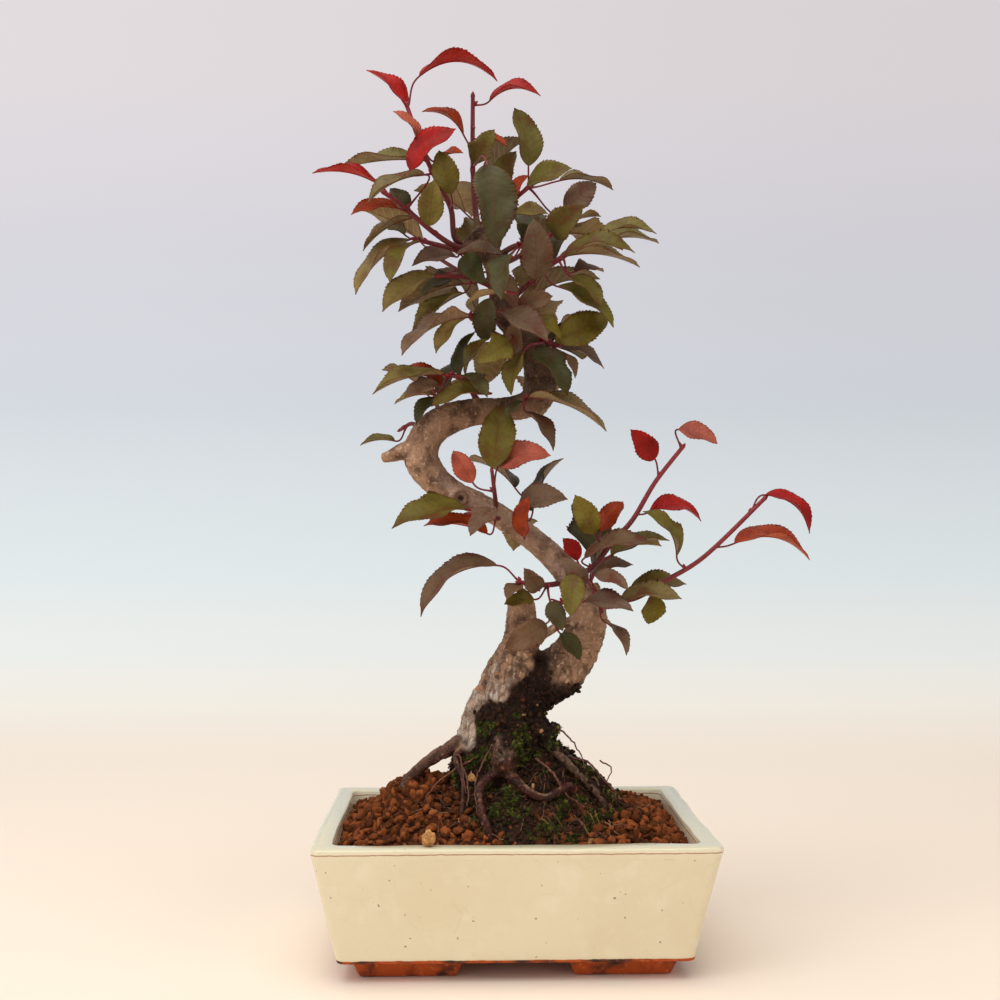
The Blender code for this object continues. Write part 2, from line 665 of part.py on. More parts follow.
def treeSolid(name, grow, collars, collection):
    tree = grownTube(name, TRUNK, TRUNK_SIDES, grow, collection)
    swellBark(tree)
    others = makeCollection(name + "_limbs")
    for limb, (sides, rows) in LIMBS.items():
        grownTube(limb, rows, sides, grow, others)
    for spots, radius in collars:
        tube("collar", spots, [radius * COLLAR_FLARE, radius], COLLAR_SIDES, others)
    joinAll(tree, others)
    return tree


def barkDistance(spot, trunk):
    return min((spot - centre).length - radius for centre, radius in trunk)


def thinPath(spots):
    return [spots[0], *spots[1:-2:TWIG_STRIDE], spots[-1]]


def splitTwig(spots, trunk):
    # The first stretch, inside and just outside the bark, is the branch collar of the trunk
    start = 1 + max(i for i, spot in enumerate(spots) if barkDistance(spot, trunk) <= CLEAR_OF_BARK)
    foot = spots[start]
    run = (foot - spots[0]).normalized()
    return [spots[0], foot - run * GAP], thinPath([foot, foot + run * TWIG_LEAD, *spots[start + 2:]])


def shell(spots, radii, sides):
    # Plain rings round a path, used only to test what lies close to what
    corners, faces = [], []
    for i, (spot, radius) in enumerate(zip(spots, radii)):
        run = (spots[min(i + 1, len(spots) - 1)] - spots[max(i - 1, 0)]).normalized()
        across = run.orthogonal().normalized()
        other = run.cross(across)
        for k in range(sides):
            turn = 2 * pi * k / sides
            corners.append(spot + (across * cos(turn) + other * sin(turn)) * radius)
    for i in range(len(spots) - 1):
        for k in range(sides):
            after = (k + 1) % sides
            faces.append((i * sides + k, i * sides + after, (i + 1) * sides + after, (i + 1) * sides + k))
    return corners, faces


def leafSheet(leaf, teeth, stalked=True):
    # The open sheet of one leaf: a narrow stalk, then a blade folded along its midrib, with
    # forward-pointing teeth. Gives its corners, triangles and the way that each corner faces.
    root, base, tip, up, arch = leaf["root"], leaf["base"], leaf["tip"], leaf["up"], leaf["arch"]
    chord = tip - base
    length = chord.length
    run = chord.normalized()
    up = (up - run * up.dot(run)).normalized()
    bow = (base + tip) / 2 + up * 2 * arch * length
    half = leaf["width"] / 2

    def spine(s):
        spot = base * (1 - s) ** 2 + bow * 2 * s * (1 - s) + tip * s * s
        way = ((bow - base) * (1 - s) + (tip - bow) * s).normalized()
        rise = (up - way * up.dot(way)).normalized()
        return spot, way, rise

    def outline(s):
        return half * sin(pi * s ** 0.82) ** 0.8

    edge = [(0.0, STALK_HALF)]
    firstTooth, reach = TOOTH_SPAN[teeth]
    for i in range(teeth):
        s = firstTooth + reach * i / (teeth - 1)
        edge.append((s, outline(s) * 1.04))
        if i < teeth - 1:
            edge.append((s + 0.06, outline(s + 0.06) * 0.82))
    ribs = 3 if teeth > 2 else 2
    middle = [i / ribs for i in range(ribs + 1)]
    corners, facing, faces = [], [], []
    stalk = base - root
    stalkSpots = [root] if stalked else []
    if stalked and stalk.length > LONG_STALK:
        stalkSpots.append(root + stalk * 0.5 - up * 0.1 * stalk.length)
    for spot in stalkSpots:
        side = stalk.cross(up).normalized() * STALK_HALF
        rise = side.cross(stalk).normalized()
        corners += [spot, spot + side, spot - side]
        facing += [rise, rise, rise]
    middleIds = []
    for s in middle:
        spot, way, rise = spine(s)
        middleIds.append(len(corners))
        corners.append(spot)
        facing.append(rise)
    sideIds = []
    for sign in (1, -1):
        ids = []
        for s, wide in edge:
            spot, way, rise = spine(s)
            out = way.cross(rise) * sign
            fold = 0.34 + 0.14 * sin(9 * s + leaf["phase"] + sign)
            spread = wide if s else STALK_HALF
            ids.append(len(corners))
            corners.append(spot + out * spread * cos(fold) + rise * spread * sin(fold) * (1 if s else 0))
            facing.append((rise * cos(fold) - out * sin(fold)).normalized() if s else rise)
        ids.append(middleIds[-1])
        sideIds.append(ids)
    rows = [(3 * i, 3 * i + 1, 3 * i + 2) for i in range(len(stalkSpots))]
    rows.append((middleIds[0], sideIds[0][0], sideIds[1][0]))
    for (m0, l0, r0), (m1, l1, r1) in zip(rows, rows[1:]):
        faces += [(m0, l0, l1), (m0, l1, m1), (m0, r1, r0), (m0, m1, r1)]
    edgeAt = [s for s, wide in edge] + [1.0]
    for sign, ids in zip((1, -1), sideIds):
        i = j = 0
        while i < len(middleIds) - 1 or j < len(ids) - 1:
            edgeNext = j < len(ids) - 1
            if edgeNext and i < len(middleIds) - 1:
                edgeNext = edgeAt[j + 1] <= middle[i + 1] + 0.04
            if edgeNext and ids[j + 1] != middleIds[i]:
                face = (middleIds[i], ids[j], ids[j + 1])
                j += 1
            elif i < len(middleIds) - 1:
                face = (middleIds[i], ids[j], middleIds[i + 1])
                i += 1
            else:
                break
            if len(set(face)) == 3:
                faces.append(face if sign > 0 else face[::-1])
    return corners, faces, facing


def thicken(sheet, half):
    # Both faces of a sheet and the band round its edge
    corners, faces, facing = sheet
    count = len(corners)
    both = [c + n * half for c, n in zip(corners, facing)] + [c - n * half for c, n in zip(corners, facing)]
    sides = {}
    for face in faces:
        for a, b in zip(face, face[1:] + face[:1]):
            sides[(a, b)] = True
    band = [(b, a, a + count, b + count) for a, b in sides if (b, a) not in sides]
    return both, list(faces) + [tuple(i + count for i in face[::-1]) for face in faces] + band


def leafWidth(length):
    return min(WIDEST_LEAF, max(SLIMMEST_LEAF, LEAF_PROPORTION * length))


def seenLeaf(row, draw):
    baseX, baseZ, tipX, tipZ, depth, lean, seen, tone = row[:8]
    base = place(baseX, baseZ, depth)
    tip = place(tipX, tipZ, depth + lean)
    run = (tip - base).normalized()
    width = leafWidth((tip - base).length)
    viewer = Vector((0, -1, 0))
    front = (viewer - run * viewer.dot(run)).normalized()
    edgeOn = run.cross(front)
    if edgeOn.z < 0:
        edgeOn = -edgeOn
    turn = acos(min(1.0, max(0.15, seen * MM / width)))
    up = front * cos(turn) + edgeOn * sin(turn)
    arch = row[8] if len(row) > 8 else USUAL_ARCH
    return {"base": base, "tip": tip, "up": up, "arch": arch, "width": width, "tone": tone,
            "phase": draw.uniform(0, 6)}


def ruledLeaves(spots, count, draw):
    # Leaves of a far spray: round the twig by the golden turn, longer towards its foot
    leaves = []
    run = (spots[-1] - spots[0]).normalized()
    across = run.orthogonal().normalized()
    other = run.cross(across)
    for i in range(count):
        along = 0.35 + 0.65 * i / (count - 1)
        foot = spots[int(along * (len(spots) - 1))]
        turn = i * GOLDEN_TURN + draw.uniform(-0.4, 0.4)
        out = across * cos(turn) + other * sin(turn)
        aim = (out * 0.85 + run * 0.6 + Vector((0, 0.25, 0.1))).normalized()
        base = foot + aim * STALK_LENGTH
        length = draw.uniform(*FAR_LEAF_LENGTH)
        tip = base + (aim + Vector((0, 0, -0.3))).normalized() * length
        up = Vector((0, 0.5, 0.9)) + out * 0.3
        leaves.append({"base": base, "tip": tip, "up": up, "arch": USUAL_ARCH, "width": leafWidth(length),
                       "tone": "olive" if i % 2 else "green", "phase": draw.uniform(0, 6)})
    return leaves


def rootOf(leaf, spots):
    # The stalk leaves the twig where it has about its usual length and runs on into the blade
    run = (leaf["tip"] - leaf["base"]).normalized()

    def strain(spot):
        stalk = leaf["base"] - spot
        return abs(stalk.length - STALK_LENGTH) + BEND_COST * (1 - stalk.normalized().dot(run))

    steps = 6
    options = [a.lerp(b, i / steps) for a, b in zip(spots, spots[1:]) for i in range(steps)] + [spots[-1]]
    return min(options[1 + len(options) // 8:], key=strain)


def tries():
    # Small changes, mildest first, for a leaf that would come too near another stem's
    for shrink in (1.0, 0.85, 0.7):
        for roll in (0, 20, -20, 45, -45):
            for push in (0, -4, 4, -8, 8, -13):
                for lean in (0, -4, 4, -8, 8, -12, 12, -17, 17):
                    yield shrink, push, lean, radians(roll)


def deeper(spot, depth):
    # Slides a place along the line of sight
    return EYE + (spot - EYE) * ((spot.y + depth * MM - EYE.y) / (spot.y - EYE.y))


def changed(leaf, shrink, push, lean, roll):
    base = deeper(leaf["base"], push)
    tip = deeper(leaf["base"] + (leaf["tip"] - leaf["base"]) * shrink, push + lean)
    run = (tip - base).normalized()
    return {**leaf, "base": base, "tip": tip, "up": Matrix.Rotation(roll, 3, run) @ leaf["up"],
            "width": leaf["width"] * shrink}


def teethOf(leaf):
    return 3 if (leaf["tip"] - leaf["base"]).length > TOOTHED_LENGTH else 2


def twigOf(rows):
    return [place(*row) for row in smoothRows(rows, 6)]


def farTwig(x, z, runX, runDepth, runZ):
    bend = (x + runX * 0.45, z + runZ * 0.3, runDepth * 0.55)
    return twigOf([(x, z, 0), bend, (x + runX, z + runZ, runDepth)])


def growSprays():
    # Sets out every stem and leaf, and turns each leaf clear of the trunk and the other stems
    draw = random.Random(SEED)
    trunk = [row for rows in [TRUNK] + [rows for sides, rows in LIMBS.values()] for row in trunkRows(rows, 4)]
    sprays = []
    for name, rule in SPRAYS.items():
        spots = twigOf(rule["twig"])
        radius = SHORT_TWIG_RADIUS if len(rule["leaves"]) < 5 else TWIG_RADIUS
        sprays.append({"name": name, "radius": radius, "whole": spots,
                       "leaves": [seenLeaf(row, draw) for row in rule["leaves"]]})
    for name, (*start, count) in FAR_SPRAYS.items():
        spots = farTwig(*start)
        sprays.append({"name": name, "radius": FAR_TWIG_RADIUS, "whole": spots,
                       "leaves": ruledLeaves(spots, count, draw)})
    barkTests = []
    for rows in [TRUNK] + [rows for sides, rows in LIMBS.values()]:
        spots, radii = zip(*trunkRows(rows, 2))
        barkTests.append(BVHTree.FromPolygons(*shell(spots, [r + CLEARANCE for r in radii], 10)))
    for spray in sprays:
        spray["collar"], spray["spots"] = splitTwig(spray["whole"], trunk)
        reach = spray["radius"] + CLEARANCE
        spray["test"] = [BVHTree.FromPolygons(*shell(spray["spots"], [reach] * len(spray["spots"]), 4))]
        collarReach = reach * COLLAR_OVER_TWIG
        barkTests.append(BVHTree.FromPolygons(*shell(spray["collar"], [collarReach] * len(spray["collar"]), 4)))
    for spray in sprays:
        others = barkTests + [test for other in sprays if other is not spray for test in other["test"]]
        kept, blades = [], []
        for leaf in spray["leaves"]:
            for attempt in tries():
                option = changed(leaf, *attempt)
                option["root"] = rootOf(option, spray["spots"])
                body = BVHTree.FromPolygons(*thicken(leafSheet(option, 3), BLADE_THICK / 2 + CLEARANCE / 2))
                blade = BVHTree.FromPolygons(*thicken(leafSheet(option, 3, False), BLADE_THICK))
                near = [test for test in others if body.overlap(test)]
                if not near and not any(blade.overlap(test) for test in blades):
                    kept.append(option)
                    blades.append(blade)
                    spray["test"].append(body)
                    break
        print(spray["name"], "leaves", len(kept), "of", len(spray["leaves"]))
        spray["leaves"] = kept
    return sprays


def makeSpray(spray, parts):
    spots = spray["spots"]
    thick, thinning = TWIG_TAPER
    radii = [spray["radius"] * (thick - thinning * i / (len(spots) - 1)) for i in range(len(spots))]
    item = tube(spray["name"], spots, radii, TWIG_SIDES, parts)
    blades = makeCollection(spray["name"] + "_blades")
    for leaf in spray["leaves"]:
        corners, faces, facing = leafSheet(leaf, teethOf(leaf))
        mesh = bpy.data.meshes.new("blade")
        mesh.from_pydata([tuple(corner) for corner in corners], [], faces)
        blade = bpy.data.objects.new("blade", mesh)
        blades.objects.link(blade)
        solidify = blade.modifiers.new("Thickness", "SOLIDIFY")
        solidify.thickness = BLADE_THICK
        solidify.offset = 0.0
    joinAll(item, blades)
    keepLargest(item)
    return item


def makeTree(parts, sprays):
    collars = [(spray["collar"], spray["radius"] * COLLAR_OVER_TWIG) for spray in sprays]
    trunk = treeSolid("trunk", 0.0, collars, parts)
    dress(trunk, makeMaterial("bark", (0.16, 0.09, 0.06), 0.9))
    materials = {tone: makeMaterial(tone + "_leaf", colour, 0.45) for tone, colour in TONES.items()}
    for spray in sprays:
        item = makeSpray(spray, parts)
        tones = [leaf["tone"] for leaf in spray["leaves"]]
        dress(item, materials[max(tones, key=tones.count)])
    return trunk


def makePebble(parts):
    work = bmesh.new()
    bmesh.ops.create_icosphere(work, subdivisions=2, radius=1.0)
    for vertex in work.verts:
        spot = Vector((vertex.co.x * 0.0024, vertex.co.y * 0.0022, vertex.co.z * 0.0031))
        spot.z = max(spot.z, -0.0027)
        vertex.co = spot + Vector((-0.0325, -0.0523, RIM_HEIGHT + GAP + 0.0027))
    pebble = meshObject("pebble", work, parts)
    dress(pebble, makeMaterial("yellow_stone", (0.45, 0.26, 0.10), 0.8))


def build():
    clearScene()
    parts = makeCollection("apple_bonsai")
    cutters = makeCollection("cutters")
    makePot(parts, cutters)
    makeScreens(parts, cutters)
    sprays = growSprays()
    makeTree(parts, sprays)
    grownTree = treeSolid("tree_hollow", TRUNK_GROW, [], cutters)
    grownMound = moundSolid("mound_hollow", MOUND_GROW, cutters)
    mound = moundSolid("moss_mound", 0.0, parts)
    cutWith(mound, grownTree, "MANIFOLD")
    freezeObject(mound)
    keepLargest(mound)
    dress(mound, makeMaterial("mossy_root_soil", (0.035, 0.03, 0.018), 1.0))
    makeSoil(parts, cutters, [grownMound, grownTree])
    makePebble(parts)
    bpy.data.objects.remove(grownTree)
    bpy.data.objects.remove(grownMound)
    for item in bpy.data.objects:
        item.location -= PLANT_MIDDLE


build()
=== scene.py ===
# Apple bonsai in a glazed pot: the looks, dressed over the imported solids.
# Metres, +Z up, viewed from -Y. Rows of numbers for the tree are in millimetres.

import json
import random
from math import acos, cos, exp, hypot, pi, radians, sin

import bmesh
import bpy
from mathutils import Matrix, Vector, kdtree, noise
from mathutils.bvhtree import BVHTree


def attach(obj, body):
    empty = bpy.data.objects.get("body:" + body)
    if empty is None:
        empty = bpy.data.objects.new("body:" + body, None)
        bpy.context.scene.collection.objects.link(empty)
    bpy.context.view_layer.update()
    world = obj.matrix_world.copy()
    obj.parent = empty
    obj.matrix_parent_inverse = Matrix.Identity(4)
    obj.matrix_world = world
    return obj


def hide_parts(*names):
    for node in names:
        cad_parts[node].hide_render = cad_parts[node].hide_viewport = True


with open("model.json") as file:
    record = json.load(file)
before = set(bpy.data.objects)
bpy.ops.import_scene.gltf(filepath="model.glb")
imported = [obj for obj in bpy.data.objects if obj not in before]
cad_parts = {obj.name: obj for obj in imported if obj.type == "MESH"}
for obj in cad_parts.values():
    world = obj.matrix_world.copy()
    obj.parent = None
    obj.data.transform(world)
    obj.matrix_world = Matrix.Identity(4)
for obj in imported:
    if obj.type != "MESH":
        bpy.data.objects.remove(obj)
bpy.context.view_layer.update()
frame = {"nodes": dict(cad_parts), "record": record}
mm = 0.001
plantMiddle = Vector((0.0212, 0.0034, 0.0))  # from the pot's centre, as in the solids
seed = 11


def finishPiece(piece, slot, *nodes):
    piece.data.transform(Matrix.Translation(-plantMiddle))
    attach(piece, "root")
    if nodes:
        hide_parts(*nodes)


def linkMesh(name, mesh):
    piece = bpy.data.objects.new(name, mesh)
    bpy.context.scene.collection.objects.link(piece)
    return piece


def meshFrom(name, work):
    mesh = bpy.data.meshes.new(name)
    work.to_mesh(mesh)
    work.free()
    return mesh


def bakePiece(piece):
    # the evaluated mesh takes the place of the modifiers
    bpy.context.view_layer.update()
    depsgraph = bpy.context.evaluated_depsgraph_get()
    mesh = bpy.data.meshes.new_from_object(piece.evaluated_get(depsgraph), preserve_all_data_layers=True,
                                           depsgraph=depsgraph)
    piece.modifiers.clear()
    piece.data = mesh


def paintMesh(mesh, material):
    mesh.materials.clear()
    mesh.materials.append(material)


def smoothFaces(mesh):
    mesh.polygons.foreach_set("use_smooth", [True] * len(mesh.polygons))


def writeAttribute(mesh, name, values, kind="FLOAT"):
    layer = mesh.attributes.new(name, kind, "POINT")
    if kind == "FLOAT":
        layer.data.foreach_set("value", values)
    else:
        layer.data.foreach_set("vector", [number for row in values for number in row])


def ease(value, low, high):
    t = max(0.0, min(1.0, (value - low) / (high - low)))
    return t * t * (3 - 2 * t)


# Small helpers that wire node trees
def feed(tree, socket, value):
    # a link where the value is a node's output, or else the socket's own constant
    if isinstance(value, bpy.types.NodeSocket):
        tree.links.new(value, socket)
    else:
        socket.default_value = value


def wire(tree, node, **values):
    for key, value in values.items():
        feed(tree, node.inputs[key.replace("_", " ")], value)


def addNode(tree, kind, settings=None, **wires):
    # wires go by the socket's name, or by its number: i0, i1 and so on
    node = tree.nodes.new(kind)
    for key, value in (settings or {}).items():
        setattr(node, key, value)
    for key, value in wires.items():
        if key[1:].isdigit():
            socket = node.inputs[int(key[1:])]
        else:
            name = key.replace("_", " ")
            socket = next(entry for entry in node.inputs if entry.name == name and entry.enabled)
        feed(tree, socket, value)
    return node


def geo(tree, kind, settings=None, **wires):
    return addNode(tree, "GeometryNode" + kind, settings, **wires).outputs[0]


def calc(tree, operation, a, b=None, c=None):
    wires = {f"i{i}": value for i, value in enumerate((a, b, c)) if value is not None}
    return addNode(tree, "ShaderNodeMath", {"operation": operation}, **wires).outputs[0]


def times(tree, a, b):
    return calc(tree, "MULTIPLY", a, b)


def timesPlus(tree, a, b, c):
    return calc(tree, "MULTIPLY_ADD", a, b, c)


def vecCalc(tree, operation, a, b=None, scale=None):
    wires = {"i0": a}
    if b is not None:
        wires["i1"] = b
    if scale is not None:
        wires["i3"] = scale
    return addNode(tree, "ShaderNodeVectorMath", {"operation": operation}, **wires).outputs[0]


def blend(tree, factor, low, high, kind="MIX"):
    settings = {"data_type": "RGBA", "blend_type": kind, "clamp_factor": True}
    return addNode(tree, "ShaderNodeMix", settings, i0=factor, i6=low, i7=high).outputs[2]


def noiseAt(tree, at, scale, detail, output="Fac"):
    return addNode(tree, "ShaderNodeTexNoise", Vector=at, Scale=scale, Detail=detail).outputs[output]


def cellsAt(tree, at, scale, feature):
    return addNode(tree, "ShaderNodeTexVoronoi", {"feature": feature}, Vector=at, Scale=scale).outputs


def remap(tree, value, fromLow, fromHigh, toLow=0.0, toHigh=1.0):
    return addNode(tree, "ShaderNodeMapRange", {"interpolation_type": "SMOOTHSTEP"}, i0=value, i1=fromLow,
                   i2=fromHigh, i3=toLow, i4=toHigh).outputs[0]


def attribute(tree, name, output="Fac"):
    return addNode(tree, "ShaderNodeAttribute", {"attribute_name": name}).outputs[output]


def named(tree, name, kind="FLOAT"):
    return geo(tree, "InputNamedAttribute", {"data_type": kind}, Name=name)


def storeNamed(tree, geometry, name, value, domain="POINT"):
    return geo(tree, "StoreNamedAttribute", {"data_type": "FLOAT", "domain": domain},
               Geometry=geometry, Name=name, Value=value)


def joinParts(tree, parts):
    joined = tree.nodes.new("GeometryNodeJoinGeometry")
    for part in parts:
        tree.links.new(part, joined.inputs[0])
    return joined.outputs[0]


def realPart(tree, geometry):
    return geo(tree, "RealizeInstances", Geometry=geometry)


def paintPart(tree, geometry, material):
    return geo(tree, "SetMaterial", Geometry=geometry, Material=material)


def smoothPart(tree, geometry):
    return geo(tree, "SetShadeSmooth", Geometry=geometry)


def anyVector(tree, low, high, seedValue):
    return addNode(tree, "FunctionNodeRandomValue", {"data_type": "FLOAT_VECTOR"}, i0=low, i1=high,
                   Seed=seedValue).outputs[0]


def anyNumber(tree, low, high, seedValue):
    return addNode(tree, "FunctionNodeRandomValue", {"data_type": "FLOAT"}, i2=low, i3=high,
                   Seed=seedValue).outputs[1]


def strewn(tree, given, density):
    # points on the faces, none nearer to another than the spacing
    return addNode(tree, "GeometryNodeDistributePointsOnFaces", {"distribute_method": "POISSON"},
                   Mesh=given["Geometry"], Distance_Min=given["Spacing"], Density_Max=given["Density"],
                   Density_Factor=density, Seed=given["Seed"]).outputs


def geometryTree(name, inputs):
    tree = bpy.data.node_groups.new(name, "GeometryNodeTree")
    tree.interface.new_socket("Geometry", in_out="INPUT", socket_type="NodeSocketGeometry")
    tree.interface.new_socket("Geometry", in_out="OUTPUT", socket_type="NodeSocketGeometry")
    for label, value in inputs.items():
        kind = {bool: "Bool", int: "Int", float: "Float", bpy.types.Material: "Material"}[type(value)]
        socket = tree.interface.new_socket(label, in_out="INPUT", socket_type="NodeSocket" + kind)
        socket.default_value = value
    entry = tree.nodes.new("NodeGroupInput")
    ending = tree.nodes.new("NodeGroupOutput")
    return tree, entry.outputs, ending.inputs[0]


def runTree(piece, tree, values):
    modifier = piece.modifiers.new(tree.name, "NODES")
    modifier.node_group = tree
    for item in tree.interface.items_tree:
        if item.item_type == "SOCKET" and item.in_out == "INPUT" and item.name in values:
            modifier[item.identifier] = values[item.name]
    bakePiece(piece)


def shaderGroup(name, inputs, outputs):
    tree = bpy.data.node_groups.new(name, "ShaderNodeTree")
    for label, value in inputs.items():
        kind = "Float" if isinstance(value, float) else "Color" if len(value) == 4 else "Vector"
        socket = tree.interface.new_socket(label, in_out="INPUT", socket_type="NodeSocket" + kind)
        socket.default_value = value
    for label, kind in outputs.items():
        tree.interface.new_socket(label, in_out="OUTPUT", socket_type="NodeSocket" + kind)
    return tree, tree.nodes.new("NodeGroupInput").outputs, tree.nodes.new("NodeGroupOutput").inputs


def useGroup(tree, group, **wires):
    node = addNode(tree, "ShaderNodeGroup", {"node_tree": group})
    wire(tree, node, **wires)
    return node.outputs


def newMaterial(name, roughness=0.6, specular=0.5):
    material = bpy.data.materials.new(name)
    material.use_nodes = True
    tree = material.node_tree
    shader = tree.nodes["Principled BSDF"]
    wire(tree, shader, Roughness=roughness, Specular_IOR_Level=specular)
    place = tree.nodes.new("ShaderNodeTexCoord").outputs["Object"]
    return material, tree, shader, place


def colour(r, g, b):
    # sRGB out of 255 to linear
    def linear(c):
        c /= 255
        return c / 12.92 if c <= 0.04045 else ((c + 0.055) / 1.055) ** 2.4
    return (linear(r), linear(g), linear(b), 1.0)


def makeMottle():
    # two noises, one broad and one fine, that shade a base colour darker and lighter
    tree, given, result = shaderGroup(
        "mottle", {"Place": (0.0, 0.0, 0.0), "Base": (0.5, 0.5, 0.5, 1.0), "Dark": (0.2, 0.2, 0.2, 1.0),
                   "Light": (0.8, 0.8, 0.8, 1.0), "Scale": 100.0, "Amount": 0.5},
        {"Colour": "Color"})
    broad = noiseAt(tree, given["Place"], given["Scale"], 3.0)
    fineScale = times(tree, given["Scale"], 4.3)
    fine = noiseAt(tree, given["Place"], fineScale, 4.0)
    darkPart = times(tree, remap(tree, broad, 0.42, 0.68), given["Amount"])
    lightPart = times(tree, remap(tree, fine, 0.52, 0.74), given["Amount"])
    shaded = blend(tree, darkPart, given["Base"], given["Dark"])
    feed(tree, result["Colour"], blend(tree, lightPart, shaded, given["Light"]))
    return tree


def makeSkin():
    # bump from a coarse and a fine noise
    tree, given, result = shaderGroup(
        "unevenSkin",
        {"Place": (0.0, 0.0, 0.0), "Scale": 300.0, "Strength": 0.3, "Depth": 0.0005, "Extra": 0.0},
        {"Normal": "Vector"})
    coarse = noiseAt(tree, given["Place"], given["Scale"], 5.0)
    fineScale = times(tree, given["Scale"], 5.0)
    fine = noiseAt(tree, given["Place"], fineScale, 3.0)
    height = timesPlus(tree, fine, 0.35, coarse)
    height = calc(tree, "ADD", height, given["Extra"])
    bump = addNode(tree, "ShaderNodeBump", Strength=given["Strength"], Distance=given["Depth"], Height=height)
    tree.links.new(bump.outputs[0], result["Normal"])
    return tree


mottle = makeMottle()
skin = makeSkin()


def shades(tree, at, base, dark, light, scale, amount):
    base, dark, light = (colour(*tone) if isinstance(tone, tuple) else tone for tone in (base, dark, light))
    return useGroup(tree, mottle, Place=at, Base=base, Dark=dark, Light=light, Scale=scale,
                    Amount=amount)["Colour"]


def bumps(tree, at, scale, strength, depth, extra=0.0):
    return useGroup(tree, skin, Place=at, Scale=scale, Strength=strength, Depth=depth, Extra=extra)["Normal"]


def plainMaterial(name, roughness, specular, tones, bump):
    material, tree, shader, place = newMaterial(name, roughness, specular)
    wire(tree, shader, Base_Color=shades(tree, place, *tones), Normal=bumps(tree, place, *bump))
    return material


print("node helpers ready")

eye = Vector((-0.020, -0.519, 0.1675))  # the viewer, from the pot's centre
growth = {
    "clearOfBark": 0.0024, "collarOverTwig": 1.35, "twigLead": 0.0015, "twigStride": 4,
    "shortTwig": 0.0009, "farTwig": 0.0010, "longTwig": 0.0011, "bladeThick": 0.0007,
    "widestLeaf": 0.019, "slimmestLeaf": 0.008, "leafProportion": 0.6, "stalkHalf": 0.00055,
    "stalkLength": 0.008, "longStalk": 0.016, "farLeafLength": (0.023, 0.032), "bendCost": 0.007,
    "clearance": 0.0009, "teeth": 3, "toothSpan": (0.17, 0.57), "ribs": 3,
}
goldenTurn = radians(137.5)

# Places in the tree tables are (x, z, depth): x and z as they look on the tree's middle plane
# from eye, slid along that line of sight to their depth (y). Trunk rows end in a radius.
trunkPath = [
    (-5, 50, 0, 20.5), (-5, 66, 0, 20.2), (-4, 83, 0, 18), (-2, 93, 0, 16), (3, 101, 0, 13.5),
    (11, 106, -1, 11.5), (19, 109, -2, 10.3), (25, 116, -2, 9.3), (30, 125, -2, 8.2), (32, 134, -1, 7.2),
    (27, 143, 0, 6.4), (21, 152, 1, 5.6), (12, 161, 2, 5.1), (0, 170, 2, 4.9), (-13, 178, 1, 4.9),
    (-24, 183, 0, 5.3), (-33, 190, 0, 6.6), (-37, 198, 1, 7.2), (-34, 207, 2, 7), (-26, 213, 3, 6.8),
    (-15, 216, 3, 5.7), (-3, 217, 2, 5.1), (6, 219, 0, 5.7), (11, 223, -1, 7), (12, 231, -1, 7),
    (9, 240, 0, 6.1), (3, 249, 1, 5.5), (-3, 256, 1, 4.9), (-5, 266, 0, 4.7), (-7, 277, 0, 4.5),
    (-11, 284, 0, 5.7), (-15, 290, 0, 5.1),
]
limbPaths = {
    "left_fork": [(-1, 100, -2, 13), (0, 108, -3, 11.2), (2, 115, -3, 9.4), (4, 124, -3, 7.4),
                  (4, 133, -2, 6.4), (4, 138, -2, 5.6)],
    "fork_twig": [(8, 121, -3, 2), (17, 127, -5, 1.8), (25, 131, -5, 1.8), (31, 135, -3, 2)],
    "elbow_stub": [(-38, 200, 1, 5), (-44, 200, 1, 3.8), (-49, 198, 2, 2.8), (-53, 197, 2, 2)],
    "base_burl": [(5, 88, -5, 8), (11, 86, -8, 5.6), (15, 85, -9, 3.8), (18, 88, -9, 1.8)],
    "dead_tip": [(13, 103, -6, 6), (20, 102, -9, 3.4), (24, 101, -10, 1.6)],
    "front_knob": [(-3, 82, -13, 6), (-3, 75, -20, 5.4), (-3, 70, -24, 4.6)],
    "front_root_left": [(-3, 71, -19, 3), (-9, 67, -24, 2), (-13, 62, -28, 1.8), (-13, 54, -33, 1.8),
                        (-10, 46, -37, 1.8), (-8, 38, -39, 1.7)],
    "front_root_right": [(-2, 69, -20, 2.6), (3, 64, -27, 1.9), (8, 60, -31, 1.7), (14, 58, -32, 1.6),
                         (20, 61, -31, 1.5), (24, 63, -28, 1.4), (25, 56, -24, 1.3)],
    "left_root": [(-16, 82, -4, 5), (-24, 79, -8, 3.4), (-33, 74, -10, 2.5), (-42, 66, -12, 2.2),
                  (-46, 57, -14, 2), (-48, 46, -15, 1.8)],
    "left_rootlet": [(-19, 79, -8, 2), (-23, 75, -16, 1.2), (-20, 66, -23, 1), (-20, 57, -27, 1),
                     (-21, 44, -29, 1)],
    "right_rootlet": [(13, 82, -8, 2.6), (19, 76, -15, 1.7), (27, 68, -20, 1.4), (36, 58, -23, 1.2),
                      (40, 48, -24, 1.1)],
    "right_root": [(12, 78, 4, 6), (24, 72, 6, 3.6), (34, 64, 8, 2.8), (42, 54, 9, 2.2),
                   (46, 44, 10, 2)],
    "back_root": [(-4, 76, 14, 7), (-6, 68, 22, 4.4), (-10, 58, 29, 3), (-13, 44, 35, 2.4)],
}

limbRows = [trunkPath, *limbPaths.values()]

